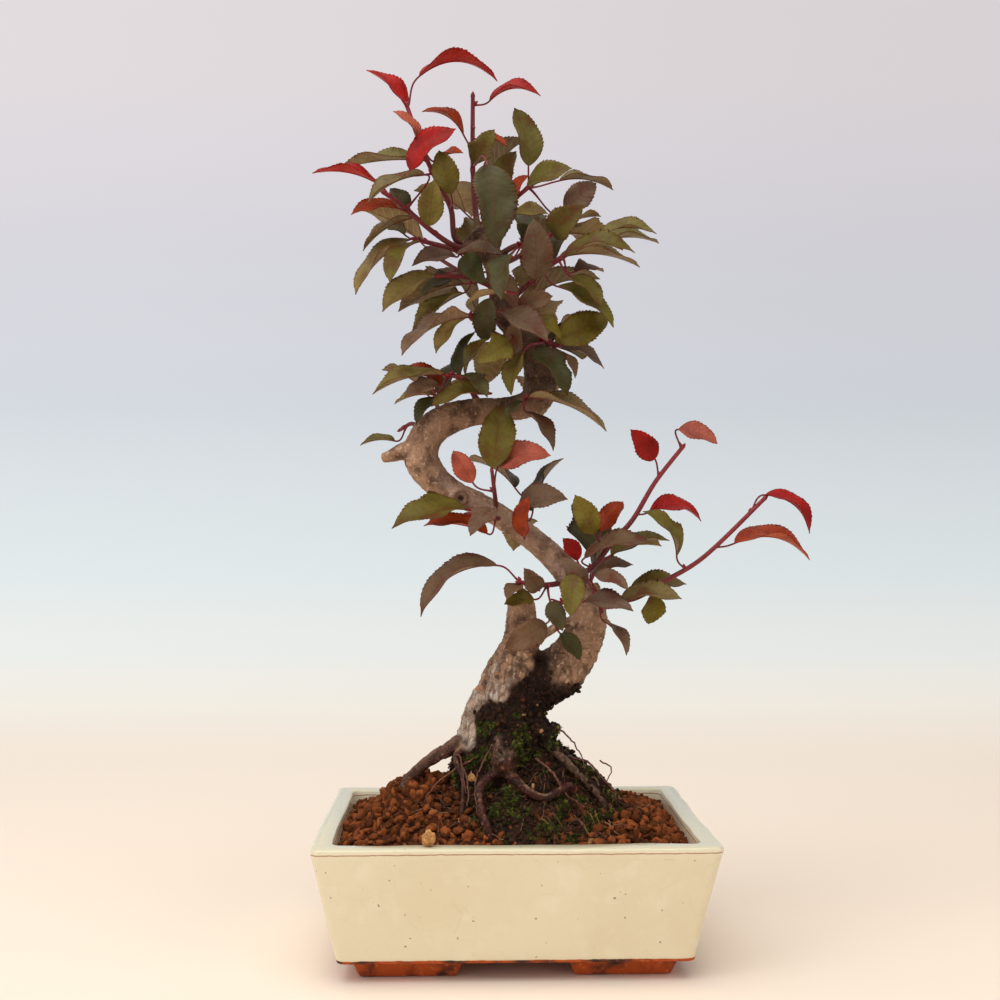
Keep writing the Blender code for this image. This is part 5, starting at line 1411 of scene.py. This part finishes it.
def makePot():
    piece = block("glazedPot", pot["base"], pot["rim"], pot["footHeight"], pot["rimHeight"], pot["corner"],
                  pot["lip"])
    for sideX in (-1, 1):
        for sideY in (-1, 1):
            foot = block("foot", pot["footBottom"], pot["footTop"], 0.0, pot["footHeight"] + 0.002, 0.0015)
            foot.location = (sideX * pot["footCentre"][0], sideY * pot["footCentre"][1], 0.0)
            boolean(piece, foot, "UNION")
    low, high = pot["footHeight"] + pot["floor"], pot["rimHeight"] + 0.01
    hollow = block("hollow", innerSize(low), innerSize(high), low, high, pot["corner"])
    boolean(piece, hollow, "DIFFERENCE")
    for side in (-1, 1):
        work = bmesh.new()
        bmesh.ops.create_cone(work, cap_ends=True, segments=32, radius1=pot["drainRadius"],
                              radius2=pot["drainRadius"], depth=0.03)
        drain = linkMesh("drain", meshFrom("drain", work))
        drain.location = (side * pot["drainX"], 0.0, pot["footHeight"])
        boolean(piece, drain, "DIFFERENCE")
    softer = piece.modifiers.new("softEdges", "BEVEL")
    softer.width = pot["softEdge"]
    softer.segments = 2
    softer.limit_method = "ANGLE"
    softer.angle_limit = radians(50)
    bakePiece(piece)
    work = bmesh.new()
    work.from_mesh(piece.data)
    straight = [edge for edge in work.edges if edge.calc_length() > 0.02]
    bmesh.ops.subdivide_edges(work, edges=straight, cuts=15, use_grid_fill=True)
    for vertex in work.verts:  # hand-made walls are never quite flat
        if vertex.co.z > 0.0095:
            drift = noise.noise(vertex.co * 26)
            vertex.co.x += drift * pot["wobble"]
            vertex.co.y += noise.noise(vertex.co * 26 + Vector((7, 0, 0))) * pot["wobble"]
            lip = ease(vertex.co.z, 0.046, 0.051)
            swell = noise.noise(vertex.co * 75) * pot["rimWobble"] * lip
            vertex.co += Vector((swell, swell, swell * 0.6))
    work.to_mesh(piece.data)
    work.free()
    piece.data.shade_smooth()
    piece.data.set_sharp_from_angle(angle=radians(38))
    paintMesh(piece.data, glazeMaterial())
    finishPiece(piece, "ivory_glaze", "pot")


makePot()
print("pot glazed")


# Soil, root mound and what lies on them
soil = {"level": 0.0462, "dome": 0.0115, "grain": 0.0018, "spacing": 0.0026, "topSpacing": 0.0038,
        "topLift": 0.0014, "density": 260000.0, "sink": 0.0004, "columns": 150, "rows": 106, "margin": 0.0016,
        "floor": 0.0138, "heaps": (((-0.030, 0.0), 0.009, 0.014), ((0.050, 0.004), 0.002, 0.012),
                                   ((-0.046, -0.010), 0.009, 0.011))}
mound = {"centre": (0.009, -0.003), "radii": (0.044, 0.0425), "edge": 0.048, "rise": 0.038, "clods": 0.0021,
         "rings": 74, "turns": 190, "brink": 0.040, "foot": 0.031}


def soilHeight(x, y):
    top = innerSize(soil["level"])
    crown = (1 - min(1.0, abs(2 * x / top[0])) ** 5) * (1 - min(1.0, abs(2 * y / top[1])) ** 3)
    height = soil["level"] + soil["dome"] * crown
    for (heapX, heapY), rise, spread in soil["heaps"]:
        height += crown * rise * exp(-((x - heapX) ** 2 + (y - heapY) ** 2) / (2 * spread ** 2))
    return height


def moundReach(x, y):
    return hypot((x - mound["centre"][0]) / mound["radii"][0], (y - mound["centre"][1]) / mound["radii"][1])


def moundHeight(x, y):
    reach = moundReach(x, y)
    lump = 0.0011 * (sin(x * 520 + 1.3) * sin(y * 470) + 0.6 * sin(x * 210 - y * 330))
    return mound["edge"] + mound["rise"] * max(0.0, 1 - reach) ** 0.8 + lump


def roughGround(x, y):
    # clods and hollows of the root mass
    spot = Vector((x, y, 0.0))
    lumps = noise.fractal(spot * 170, 0.8, 2.0, 4) + 0.6 * noise.turbulence(spot * 430, 3, False) - 0.4
    return lumps * mound["clods"]


def grainMaterial():
    material, tree, shader, place = newMaterial("akadamaClay", 0.95, 0.08)
    pick = attribute(tree, "grainTone")
    warm = blend(tree, remap(tree, pick, 0.05, 0.95), colour(80, 42, 19), colour(148, 80, 42))
    warm = blend(tree, remap(tree, pick, 0.985, 0.99), warm, colour(164, 120, 78))
    dusty = shades(tree, place, warm, (48, 25, 14), (160, 98, 54), 420.0, 0.6)
    wire(tree, shader, Base_Color=dusty, Normal=bumps(tree, place, 1400.0, 0.7, 0.0005))
    return material


def makeSoilBed():
    top = innerSize(soil["level"])
    columns, rows = soil["columns"], soil["rows"]
    work = bmesh.new()
    grid = {}
    for i in range(columns + 1):
        for j in range(rows + 1):
            x = (i / columns - 0.5) * (top[0] - soil["margin"])
            y = (j / rows - 0.5) * (top[1] - soil["margin"])
            z = soilHeight(x, y) - 0.0012 + 0.0006 * noise.noise(Vector((x, y, 0)) * 700)
            grid[i, j] = work.verts.new((x, y, z))
    for i in range(columns):
        for j in range(rows):
            work.faces.new((grid[i, j], grid[i + 1, j], grid[i + 1, j + 1], grid[i, j + 1]))
    # walls down to a floor, made in a fixed order so that the grains always fall alike
    around = [(i, 0) for i in range(columns)] + [(columns, j) for j in range(rows)]
    around += [(i, rows) for i in range(columns, 0, -1)] + [(0, j) for j in range(rows, 0, -1)]
    crest = [grid[spot] for spot in around]
    foot = [work.verts.new((vertex.co.x * 0.9, vertex.co.y * 0.88, soil["floor"])) for vertex in crest]
    for near, far, farFoot, nearFoot in zip(crest, crest[1:] + crest[:1], foot[1:] + foot[:1], foot):
        work.faces.new((far, near, nearFoot, farFoot))
    work.faces.new(foot[::-1])
    mesh = meshFrom("soilBed", work)
    smoothFaces(mesh)
    # where loose grains lie: everywhere but under the roots, and on the mound's own lower slopes
    density = []
    for vertex in mesh.vertices:
        x, y, z = vertex.co
        buried = ease(moundHeight(x, y) - soilHeight(x, y), 0.0, 0.004) if moundReach(x, y) < 1 else 0.0
        density.append(0.0 if z < 0.03 else 1.0 - buried)
    writeAttribute(mesh, "grains", density)
    tones = (74, 38, 24), (30, 18, 13), (104, 56, 34), 210.0, 0.9
    paintMesh(mesh, plainMaterial("soilShade", 0.95, 0.08, tones, (900.0, 0.8, 0.0008)))
    return linkMesh("soilBed", mesh)


def grainTree(material):
    tree, given, ending = geometryTree("looseGrains", {
        "Grain size": soil["grain"], "Spacing": soil["spacing"], "Density": soil["density"],
        "Sink": soil["sink"], "Seed": 3, "Clay": material})
    points = strewn(tree, given, named(tree, "grains"))["Points"]
    shapes = []
    for i in range(4):  # four broken shapes of grain
        ball = addNode(tree, "GeometryNodeMeshIcoSphere", Radius=given["Grain size"], Subdivisions=2)
        drift = vecCalc(tree, "SCALE", geo(tree, "InputPosition"), scale=440.0)
        drift = vecCalc(tree, "ADD", drift, (i * 7.3, i * 3.1, 0.0))
        bumpy = noiseAt(tree, drift, 1.0, 3.0)
        push = timesPlus(tree, bumpy, 3.4, -1.7)
        push = times(tree, push, given["Grain size"])
        normal = geo(tree, "InputNormal")
        moved = addNode(tree, "GeometryNodeSetPosition", Geometry=ball.outputs[0],
                        Offset=vecCalc(tree, "SCALE", normal, scale=push))
        shapes.append(geo(tree, "GeometryToInstance", Geometry=moved.outputs[0]))
    spin = anyVector(tree, (0.0, 0.0, 0.0), (6.28, 6.28, 6.28), given["Seed"])
    size = anyVector(tree, (0.42, 0.42, 0.4), (1.35, 1.25, 1.15), calc(tree, "ADD", given["Seed"], 5.0))
    turn = addNode(tree, "FunctionNodeEulerToRotation", Euler=spin).outputs[0]
    which = addNode(tree, "FunctionNodeRandomValue", {"data_type": "INT"}, i4=0, i5=3,
                    Seed=given["Seed"]).outputs[2]
    placed = geo(tree, "InstanceOnPoints", Points=points, Instance=joinParts(tree, shapes),
                 Pick_Instance=True, Instance_Index=which, Rotation=turn, Scale=size)
    tone = anyNumber(tree, 0.0, 1.0, calc(tree, "ADD", given["Seed"], 9.0))
    real = realPart(tree, storeNamed(tree, placed, "grainTone", tone, "INSTANCE"))
    low = addNode(tree, "ShaderNodeCombineXYZ", Z=times(tree, given["Sink"], -1.0)).outputs[0]
    sunk = geo(tree, "SetPosition", Geometry=real, Offset=low)
    tree.links.new(paintPart(tree, smoothPart(tree, sunk), given["Clay"]), ending)
    return tree


def makeSoil():
    bed = makeSoilBed()
    clay = grainMaterial()
    tree = grainTree(clay)
    for name, seedValue, spacing, lift in (("akadamaGrains", 3, soil["spacing"], 0.0),
                                           ("akadamaTopGrains", 8, soil["topSpacing"], soil["topLift"])):
        grains = linkMesh(name, bed.data.copy())
        grains.data.transform(Matrix.Translation((0, 0, lift)))
        runTree(grains, tree, {"Seed": seedValue, "Spacing": spacing, "Clay": clay})
        finishPiece(grains, "akadama")
    finishPiece(bed, "akadama", "akadama_soil")
    return tree


looseGrains = makeSoil()
print("akadama laid")


# The mound: old root mass and peat, with moss on its damp flanks
moss = {"spacing": 0.00062, "density": 3.2e6, "height": 0.0017, "width": 0.00028, "leaflets": 6}


def moundMaterial():
    material, tree, shader, place = newMaterial("rootPeat", 0.92, 0.1)
    peat = shades(tree, place, (41, 26, 16), (17, 11, 7), (96, 58, 36), 260.0, 0.85)
    rusty = shades(tree, place, (112, 60, 30), (56, 30, 20), (156, 96, 54), 300.0, 0.8)
    green = shades(tree, place, (56, 64, 27), (32, 31, 16), (100, 112, 46), 320.0, 0.8)
    shade = blend(tree, attribute(tree, "rusty"), peat, rusty)
    shade = blend(tree, remap(tree, attribute(tree, "mossy"), 0.25, 0.7, 0.0, 0.8), shade, green)
    wire(tree, shader, Base_Color=shade,
         Roughness=remap(tree, attribute(tree, "rusty"), 0.0, 1.0, 0.72, 0.95),
         Normal=bumps(tree, place, 700.0, 0.9, 0.0007))
    return material


def mossPatch(spot):
    # where moss has taken hold: patches by noise, more on the front and the right flank
    x, y = spot.x * 1000, spot.y * 1000
    patch = noise.fractal(spot * 120 + Vector((1.7, 0.4, 0)), 0.8, 2.0, 3)
    lean = 0.10 * ease(x, 16, 34) + 0.08 * ease(-y, 18, 34) + 0.12 * ease(x, -14, -6) * (1 - ease(x, 0, 10))
    return ease(patch + lean, 0.13, 0.43)


def makeMound():
    rings, turns = mound["rings"], mound["turns"]
    work = bmesh.new()
    grid = []
    for i in range(rings + 1):
        reach = (i / rings) ** 0.85
        row = []
        for k in range(turns):
            turn = 2 * pi * k / turns
            drift = noise.noise(Vector((cos(turn) * 3, sin(turn) * 3, 0)))
            ragged = 1 + 0.035 * sin(3 * turn + 1) + 0.03 * drift
            x = mound["centre"][0] + cos(turn) * reach * mound["radii"][0] * ragged
            y = mound["centre"][1] + sin(turn) * reach * mound["radii"][1] * ragged
            z = moundHeight(x, y) + roughGround(x, y)
            if i == rings:
                z = mound["brink"]
            row.append(work.verts.new((x, y, z)))
        grid.append(row)
    for lower, upper in zip(grid, grid[1:]):
        for k in range(turns):
            work.faces.new((lower[k], lower[(k + 1) % turns], upper[(k + 1) % turns], upper[k]))
    foot = [work.verts.new((vertex.co.x * 0.9, vertex.co.y * 0.9, mound["foot"])) for vertex in grid[-1]]
    for k in range(turns):
        work.faces.new((grid[-1][k], grid[-1][(k + 1) % turns], foot[(k + 1) % turns], foot[k]))
    work.faces.new(foot)
    work.faces.new(grid[0][::-1])
    bmesh.ops.remove_doubles(work, verts=grid[0], dist=1e-5)
    bmesh.ops.recalc_face_normals(work, faces=work.faces)
    mesh = meshFrom("rootMound", work)
    smoothFaces(mesh)
    mossy, rusty = [], []
    for vertex in mesh.vertices:
        spot = vertex.co
        mossy.append(mossPatch(spot) * ease(spot.z, 0.047, 0.053))
        warm = ease(spot.x, 0.002, 0.014) * ease(-spot.y, 0.016, 0.028) * (1 - ease(spot.z, 0.058, 0.066))
        rusty.append(max(0.0, min(1.0, warm * (0.6 + noise.noise(spot * 200)))))
    writeAttribute(mesh, "mossy", mossy)
    writeAttribute(mesh, "rusty", rusty)
    writeAttribute(mesh, "clods", [0.0 if vertex.co.z < 0.045 else 1.0 for vertex in mesh.vertices])
    paintMesh(mesh, moundMaterial())
    bed = mesh.copy()
    piece = linkMesh("rootMound", mesh)
    finishPiece(piece, "mossy_root_soil", "moss_mound")
    return bed


def mossMaterial():
    material, tree, shader, place = newMaterial("mossGreen", 0.7, 0.12)
    pick = attribute(tree, "mossTone")
    shade = blend(tree, remap(tree, pick, 0.0, 0.9), colour(42, 42, 20), colour(96, 110, 42))
    shade = blend(tree, remap(tree, pick, 0.78, 0.92), shade, colour(150, 142, 62))
    shade = shades(tree, place, shade, (38, 31, 18), (120, 128, 56), 150.0, 0.8)
    wire(tree, shader, Base_Color=shade)
    return material


def mossTree(material):
    tree, given, ending = geometryTree("mossTufts", {
        "Height": moss["height"], "Width": moss["width"], "Spacing": moss["spacing"],
        "Density": moss["density"], "Seed": 5, "Moss": material})
    points = strewn(tree, given, remap(tree, named(tree, "mossy"), 0.35, 0.8))
    leaflet = addNode(tree, "GeometryNodeMeshCone", {"fill_type": "NGON"}, Vertices=3, Side_Segments=1,
                      Radius_Top=0.0, Radius_Bottom=given["Width"], Depth=given["Height"]).outputs["Mesh"]
    leaflets = []
    for i in range(moss["leaflets"]):  # one upright and the others leaning out round it
        lean, size, off = (0.55, 0.72, 0.00022) if i else (0.0, 1.0, 0.0)
        turn = 2.4 * i
        leaflets.append(geo(tree, "Transform", Geometry=leaflet, Rotation=(lean, 0.0, turn),
                            Scale=(size, size, size),
                            Translation=(sin(turn) * off, -cos(turn) * off, 0.0)))
    spin = anyNumber(tree, 0.0, 6.28, given["Seed"])
    size = anyNumber(tree, 0.45, 1.15, calc(tree, "ADD", given["Seed"], 3.0))
    about = addNode(tree, "ShaderNodeCombineXYZ", Z=spin).outputs[0]
    turned = addNode(tree, "FunctionNodeEulerToRotation", Euler=about).outputs[0]
    spun = addNode(tree, "FunctionNodeRotateRotation", {"rotation_space": "LOCAL"},
                   Rotation=points["Rotation"], Rotate_By=turned).outputs[0]
    scale = addNode(tree, "ShaderNodeCombineXYZ", X=size, Y=size, Z=size).outputs[0]
    tufts = geo(tree, "InstanceOnPoints", Points=points["Points"],
                Instance=joinParts(tree, leaflets), Rotation=spun, Scale=scale)
    tone = anyNumber(tree, 0.0, 1.0, calc(tree, "ADD", given["Seed"], 8.0))
    real = realPart(tree, storeNamed(tree, tufts, "mossTone", tone, "INSTANCE"))
    tree.links.new(paintPart(tree, real, given["Moss"]), ending)
    return tree


def makeMoss(beds):
    material = mossMaterial()
    tree = mossTree(material)
    for name, mesh, seedValue in beds:
        tufts = linkMesh(name, mesh)
        runTree(tufts, tree, {"Seed": seedValue, "Moss": material})
        finishPiece(tufts, "mossy_root_soil")


# Wiry rootlets that stand out of the mound, as (x, z, depth) rows with one radius
rootlets = [
    ([(23, 75, -12), (32, 72, -16), (37, 66, -18), (41, 62, -19), (43, 57, -20)], 0.45),
    ([(36, 73, -14), (41, 70, -16), (39, 64, -18), (43, 60, -20)], 0.3),
    ([(-22, 78, -8), (-20, 71, -20), (-18, 64, -28), (-18, 55, -33)], 0.5),
    ([(-26, 70, -14), (-22, 76, -18), (-20, 69, -26), (-19, 61, -30)], 0.35),
    ([(16, 88, -8), (22, 84, -16), (27, 78, -20), (30, 70, -24)], 0.4),
    ([(-8, 80, -18), (-12, 72, -26), (-15, 64, -31), (-14, 52, -35)], 0.4),
    ([(10, 74, -22), (17, 68, -27), (22, 60, -30), (30, 54, -31)], 0.5),
    ([(-16, 74, -16), (-26, 68, -18), (-34, 60, -20), (-37, 52, -22)], 0.35),
]
# Hair-fine roots: their number, their stride over the mound and how far out they may lie
hairs = {"count": 150, "stride": 0.0013, "limitX": 0.066, "limitY": 0.047, "radius": (0.00012, 0.0003)}


def rodTree(material, sides):
    tree, given, ending = geometryTree("fineRods", {"Sides": sides, "Skin": material})
    rods = rodPart(tree, given["Geometry"], given["Sides"], given["Skin"])
    tree.links.new(realPart(tree, rods), ending)
    return tree


def makeRootlets():
    draw = random.Random(seed + 5)
    material, tree, shader, spotIn = newMaterial("rootlet", 0.6, 0.4)
    shade = shades(tree, spotIn, attribute(tree, "tint", "Color"), (36, 20, 16), (176, 128, 90), 260.0, 0.55)
    wire(tree, shader, Base_Color=shade, Normal=bumps(tree, spotIn, 900.0, 0.6, 0.0003))
    chains = Chains()
    for rows, radius in rootlets:
        path = [spot + Vector((draw.uniform(-1, 1), draw.uniform(-1, 1), draw.uniform(-1, 1))) * 0.0003
                for spot in twigOf(rows)]
        tint = colour(*draw.choice([(92, 46, 34), (120, 66, 44), (70, 38, 30)]))[:3]
        chains.add(rodRows(path, [radius * mm * (1.1 - 0.6 * i / len(path)) for i in range(len(path))], tint))
    for i in range(hairs["count"]):  # they wander over the mound
        turn, reach = draw.uniform(0, 2 * pi), draw.uniform(0.35, 1.0)
        x = mound["centre"][0] + cos(turn) * reach * mound["radii"][0]
        y = mound["centre"][1] + sin(turn) * reach * mound["radii"][1]
        heading = turn + draw.uniform(-1.2, 1.2)
        path = []
        for step in range(draw.randint(7, 14)):
            heading += draw.uniform(-0.5, 0.5)
            x += cos(heading) * hairs["stride"]
            y += sin(heading) * hairs["stride"]
            top = max(soilHeight(x, y), moundHeight(x, y) + roughGround(x, y))
            path.append(Vector((x, y, top + 0.0001 + 0.0012 * max(0.0, sin(step * 0.9 + i)))))
        if all(abs(spot.x) < hairs["limitX"] and abs(spot.y) < hairs["limitY"] for spot in path):
            tint = colour(*draw.choice([(60, 36, 26), (96, 58, 38), (140, 98, 66), (74, 42, 30)]))[:3]
            radius = draw.uniform(*hairs["radius"])
            chains.add(rodRows(path, [radius * (1 - 0.6 * k / len(path)) for k in range(len(path))], tint))
    piece = chains.piece("wiryRootlets")
    runTree(piece, rodTree(material, 6), {"Skin": material})
    finishPiece(piece, "mossy_root_soil")


pebbleFoot = 0.0027  # how far a stone's flat underside lies below its middle


def groundSpot(x, y):
    # the middle of a stone that lies on the ground there, pressed a little into it
    return x, y, max(soilHeight(x, y), moundHeight(x, y)) + pebbleFoot


def makePebbles():
    # two yellow stones, one balanced on the rim, in a finer cut than the solid
    tones = (192, 140, 82), (132, 84, 44), (214, 176, 124), 420.0, 0.8
    material = plainMaterial("yellowStone", 0.75, 0.35, tones, (900.0, 0.7, 0.0004))
    rim = pot["rimHeight"] + 0.0003 + pebbleFoot
    for name, centre, size, replaced in (
            ("rimPebble", (-0.0325, -0.0523, rim), (0.0024, 0.0022, 0.0031), ("pebble",)),
            ("moundPebble", groundSpot(-0.0157, -0.015), (0.0027, 0.0023, 0.0031), ())):
        work = bmesh.new()
        bmesh.ops.create_icosphere(work, subdivisions=4, radius=1.0)
        for vertex in work.verts:
            way = vertex.co.normalized()
            lump = 1 + 0.22 * noise.noise(way * 1.9 + Vector((4, 0, 0)))
            lump += 0.10 * noise.fractal(way * 4, 1.0, 2.0, 2)
            lump *= 1 - 0.14 * ease(abs(way.x) + abs(way.y) + abs(way.z), 1.35, 1.73)
            spot = Vector((way.x * size[0], way.y * size[1], way.z * size[2])) * lump
            spot.z = max(spot.z, -pebbleFoot * size[2] / 0.0031)
            vertex.co = spot + Vector(centre)
        piece = linkMesh(name, meshFrom(name, work))
        smoothFaces(piece.data)
        paintMesh(piece.data, material)
        finishPiece(piece, "yellow_stone", *replaced)


def dressScreens():
    tones = (30, 30, 31), (14, 14, 15), (70, 66, 60), 500.0, 0.6
    material = plainMaterial("meshPlastic", 0.55, 0.4, tones, (1200.0, 0.3, 0.0002))
    for node in ("drain_screen_left", "drain_screen_right"):
        paintMesh(frame["nodes"][node].data, material)


def clodMaterial():
    material, tree, shader, place = newMaterial("peatClod", 0.9, 0.1)
    pick = attribute(tree, "grainTone")
    shade = blend(tree, remap(tree, pick, 0.0, 0.7), colour(30, 19, 13), colour(58, 37, 25))
    shade = blend(tree, remap(tree, pick, 0.95, 0.97), shade, colour(112, 62, 36))
    shade = blend(tree, remap(tree, pick, 0.985, 0.99), shade, colour(170, 124, 82))
    shade = shades(tree, place, shade, (18, 12, 9), (104, 70, 46), 400.0, 0.7)
    wire(tree, shader, Base_Color=shade, Normal=bumps(tree, place, 1300.0, 0.8, 0.0005))
    return material


def makeClods(beds):
    # crumbs of peat and old clay, strewn by the same rule as the loose grains
    material = clodMaterial()
    for name, mesh, spacing, size in beds:
        mesh.attributes["clods"].name = "grains"
        crumbs = linkMesh(name, mesh)
        runTree(crumbs, looseGrains, {"Grain size": size, "Spacing": spacing, "Density": 700000.0, "Seed": 21,
                                      "Sink": 0.0001, "Clay": material})
        finishPiece(crumbs, "mossy_root_soil")


moundSkin = makeMound()
makeClods([("moundCrumbs", moundSkin.copy(), 0.0024, 0.0013),
           ("trunkCrumbs", trunkSkin.copy(), 0.0023, 0.001)])
makeMoss([("moundMoss", moundSkin, 5), ("trunkMoss", trunkSkin, 12)])
makeRootlets()
makePebbles()
dressScreens()
print("mound, moss and roots laid")


# A pale seamless sweep, soft studio light and the camera
studio = {"floorSpan": 6.0, "floorFront": -3.0, "wallAt": 2.6, "bend": 1.4, "bendSteps": 24,
          "wallHeight": 4.0}
viewer = {"focal": 45.54, "sensor": 36.0, "nearest": 0.01, "spot": (-0.0412, -0.5224, 0.1675),
          "tilt": 91.36, "turn": -1.68}


def sweepMaterial():
    material, tree, shader, place = newMaterial("paleSweep", 1.0, 0.0)
    at = addNode(tree, "ShaderNodeSeparateXYZ", Vector=place).outputs
    # painted light on the wall's glow, which changes tone with height: warm white at the foot, a faint blue
    # half-way up and a greyish pink above
    ramp = tree.nodes.new("ShaderNodeValToRGB")
    stops = ((0.0, (251, 240, 226)), (0.12, (240, 241, 236)), (0.19, (229, 236, 237)),
             (0.42, (214, 219, 225)), (0.68, (217, 216, 223)), (1.0, (227, 220, 223)))
    while len(ramp.color_ramp.elements) < len(stops):
        ramp.color_ramp.elements.new(0.5)
    for element, (spot, tone) in zip(ramp.color_ramp.elements, stops):
        element.position = spot
        element.color = colour(*tone)
    # the near floor counts as lower still, so that its tone warms towards the front
    nearer = times(tree, calc(tree, "MINIMUM", calc(tree, "SUBTRACT", at["Y"], 1.2), 0.0), 0.25)
    height = addNode(tree, "ShaderNodeMapRange", Value=calc(tree, "ADD", at["Z"], nearer), From_Min=-0.2,
                     From_Max=1.3)
    tree.links.new(height.outputs[0], ramp.inputs[0])
    return material, tree, shader, at, ramp.outputs[0]


def makeSweep():
    work = bmesh.new()
    span, steps = studio["floorSpan"], studio["bendSteps"]
    profile = [(studio["floorFront"], 0.0), (studio["wallAt"] - studio["bend"], 0.0)]
    for i in range(1, steps + 1):
        turn = pi / 2 * i / steps
        profile.append((studio["wallAt"] - studio["bend"] + studio["bend"] * sin(turn),
                        studio["bend"] * (1 - cos(turn))))
    profile.append((studio["wallAt"], studio["wallHeight"]))
    rows = [[work.verts.new((side * span, y, z - 0.0002)) for side in (-1, 1)] for y, z in profile]
    for near, far in zip(rows, rows[1:]):
        work.faces.new((near[0], near[1], far[1], far[0]))
    sweep = linkMesh("studioSweep", meshFrom("studioSweep", work))
    smoothFaces(sweep.data)
    # the near floor takes light and shadow; from a little behind the pot the floor and the wall glow by
    # themselves, painted light that fills in where the lamps fall off and dims by a tenth from left to right
    material, tree, shader, at, glow = sweepMaterial()
    wall = remap(tree, at["Y"], 0.05, 0.75)
    black = (0.0, 0.0, 0.0, 1.0)
    wire(tree, shader, Base_Color=blend(tree, wall, colour(241, 226, 209), black),
         Emission_Color=blend(tree, wall, black, glow),
         Emission_Strength=remap(tree, at["X"], -1.3, 1.3, 1.0, 0.9))
    material.cycles.emission_sampling = "NONE"
    paintMesh(sweep.data, material)


def softLight(name, spot, aim, size, watts, tone):
    lamp = bpy.data.lights.new(name, "AREA")
    lamp.shape = "RECTANGLE"
    lamp.size, lamp.size_y = size
    lamp.energy = watts
    lamp.color = tone
    item = bpy.data.objects.new(name, lamp)
    item.location = spot
    item.rotation_euler = (Vector(aim) - Vector(spot)).to_track_quat("-Z", "Y").to_euler()
    bpy.context.scene.collection.objects.link(item)


def makeStudio():
    makeSweep()
    softLight("overheadSoftbox", (-0.2, -0.35, 1.25), (0.0, 0.0, 0.12), (1.5, 1.3), 15.0, (1.0, 0.985, 0.965))
    softLight("leftSoftbox", (-1.25, -0.8, 0.65), (0.0, 0.0, 0.15), (0.9, 1.1), 7.0, (1.0, 0.98, 0.96))
    softLight("rightSoftbox", (1.25, -0.9, 0.55), (0.0, 0.0, 0.15), (0.9, 1.1), 4.5, (1.0, 0.98, 0.96))
    world = bpy.data.worlds.new("studioAir")
    world.use_nodes = True
    world.node_tree.nodes["Background"].inputs["Color"].default_value = colour(238, 236, 234)
    world.node_tree.nodes["Background"].inputs["Strength"].default_value = 0.42
    bpy.context.scene.world = world
    bpy.context.scene.view_settings.view_transform = "Standard"


def makeCamera():
    lens = bpy.data.cameras.new("eyeLevel")
    lens.lens = viewer["focal"]
    lens.sensor_width = viewer["sensor"]
    lens.clip_start = viewer["nearest"]
    camera = bpy.data.objects.new("eyeLevel", lens)
    camera.location = viewer["spot"]
    camera.rotation_euler = (radians(viewer["tilt"]), 0.0, radians(viewer["turn"]))
    bpy.context.scene.collection.objects.link(camera)
    bpy.context.scene.camera = camera


makeStudio()
makeCamera()
print("studio set")
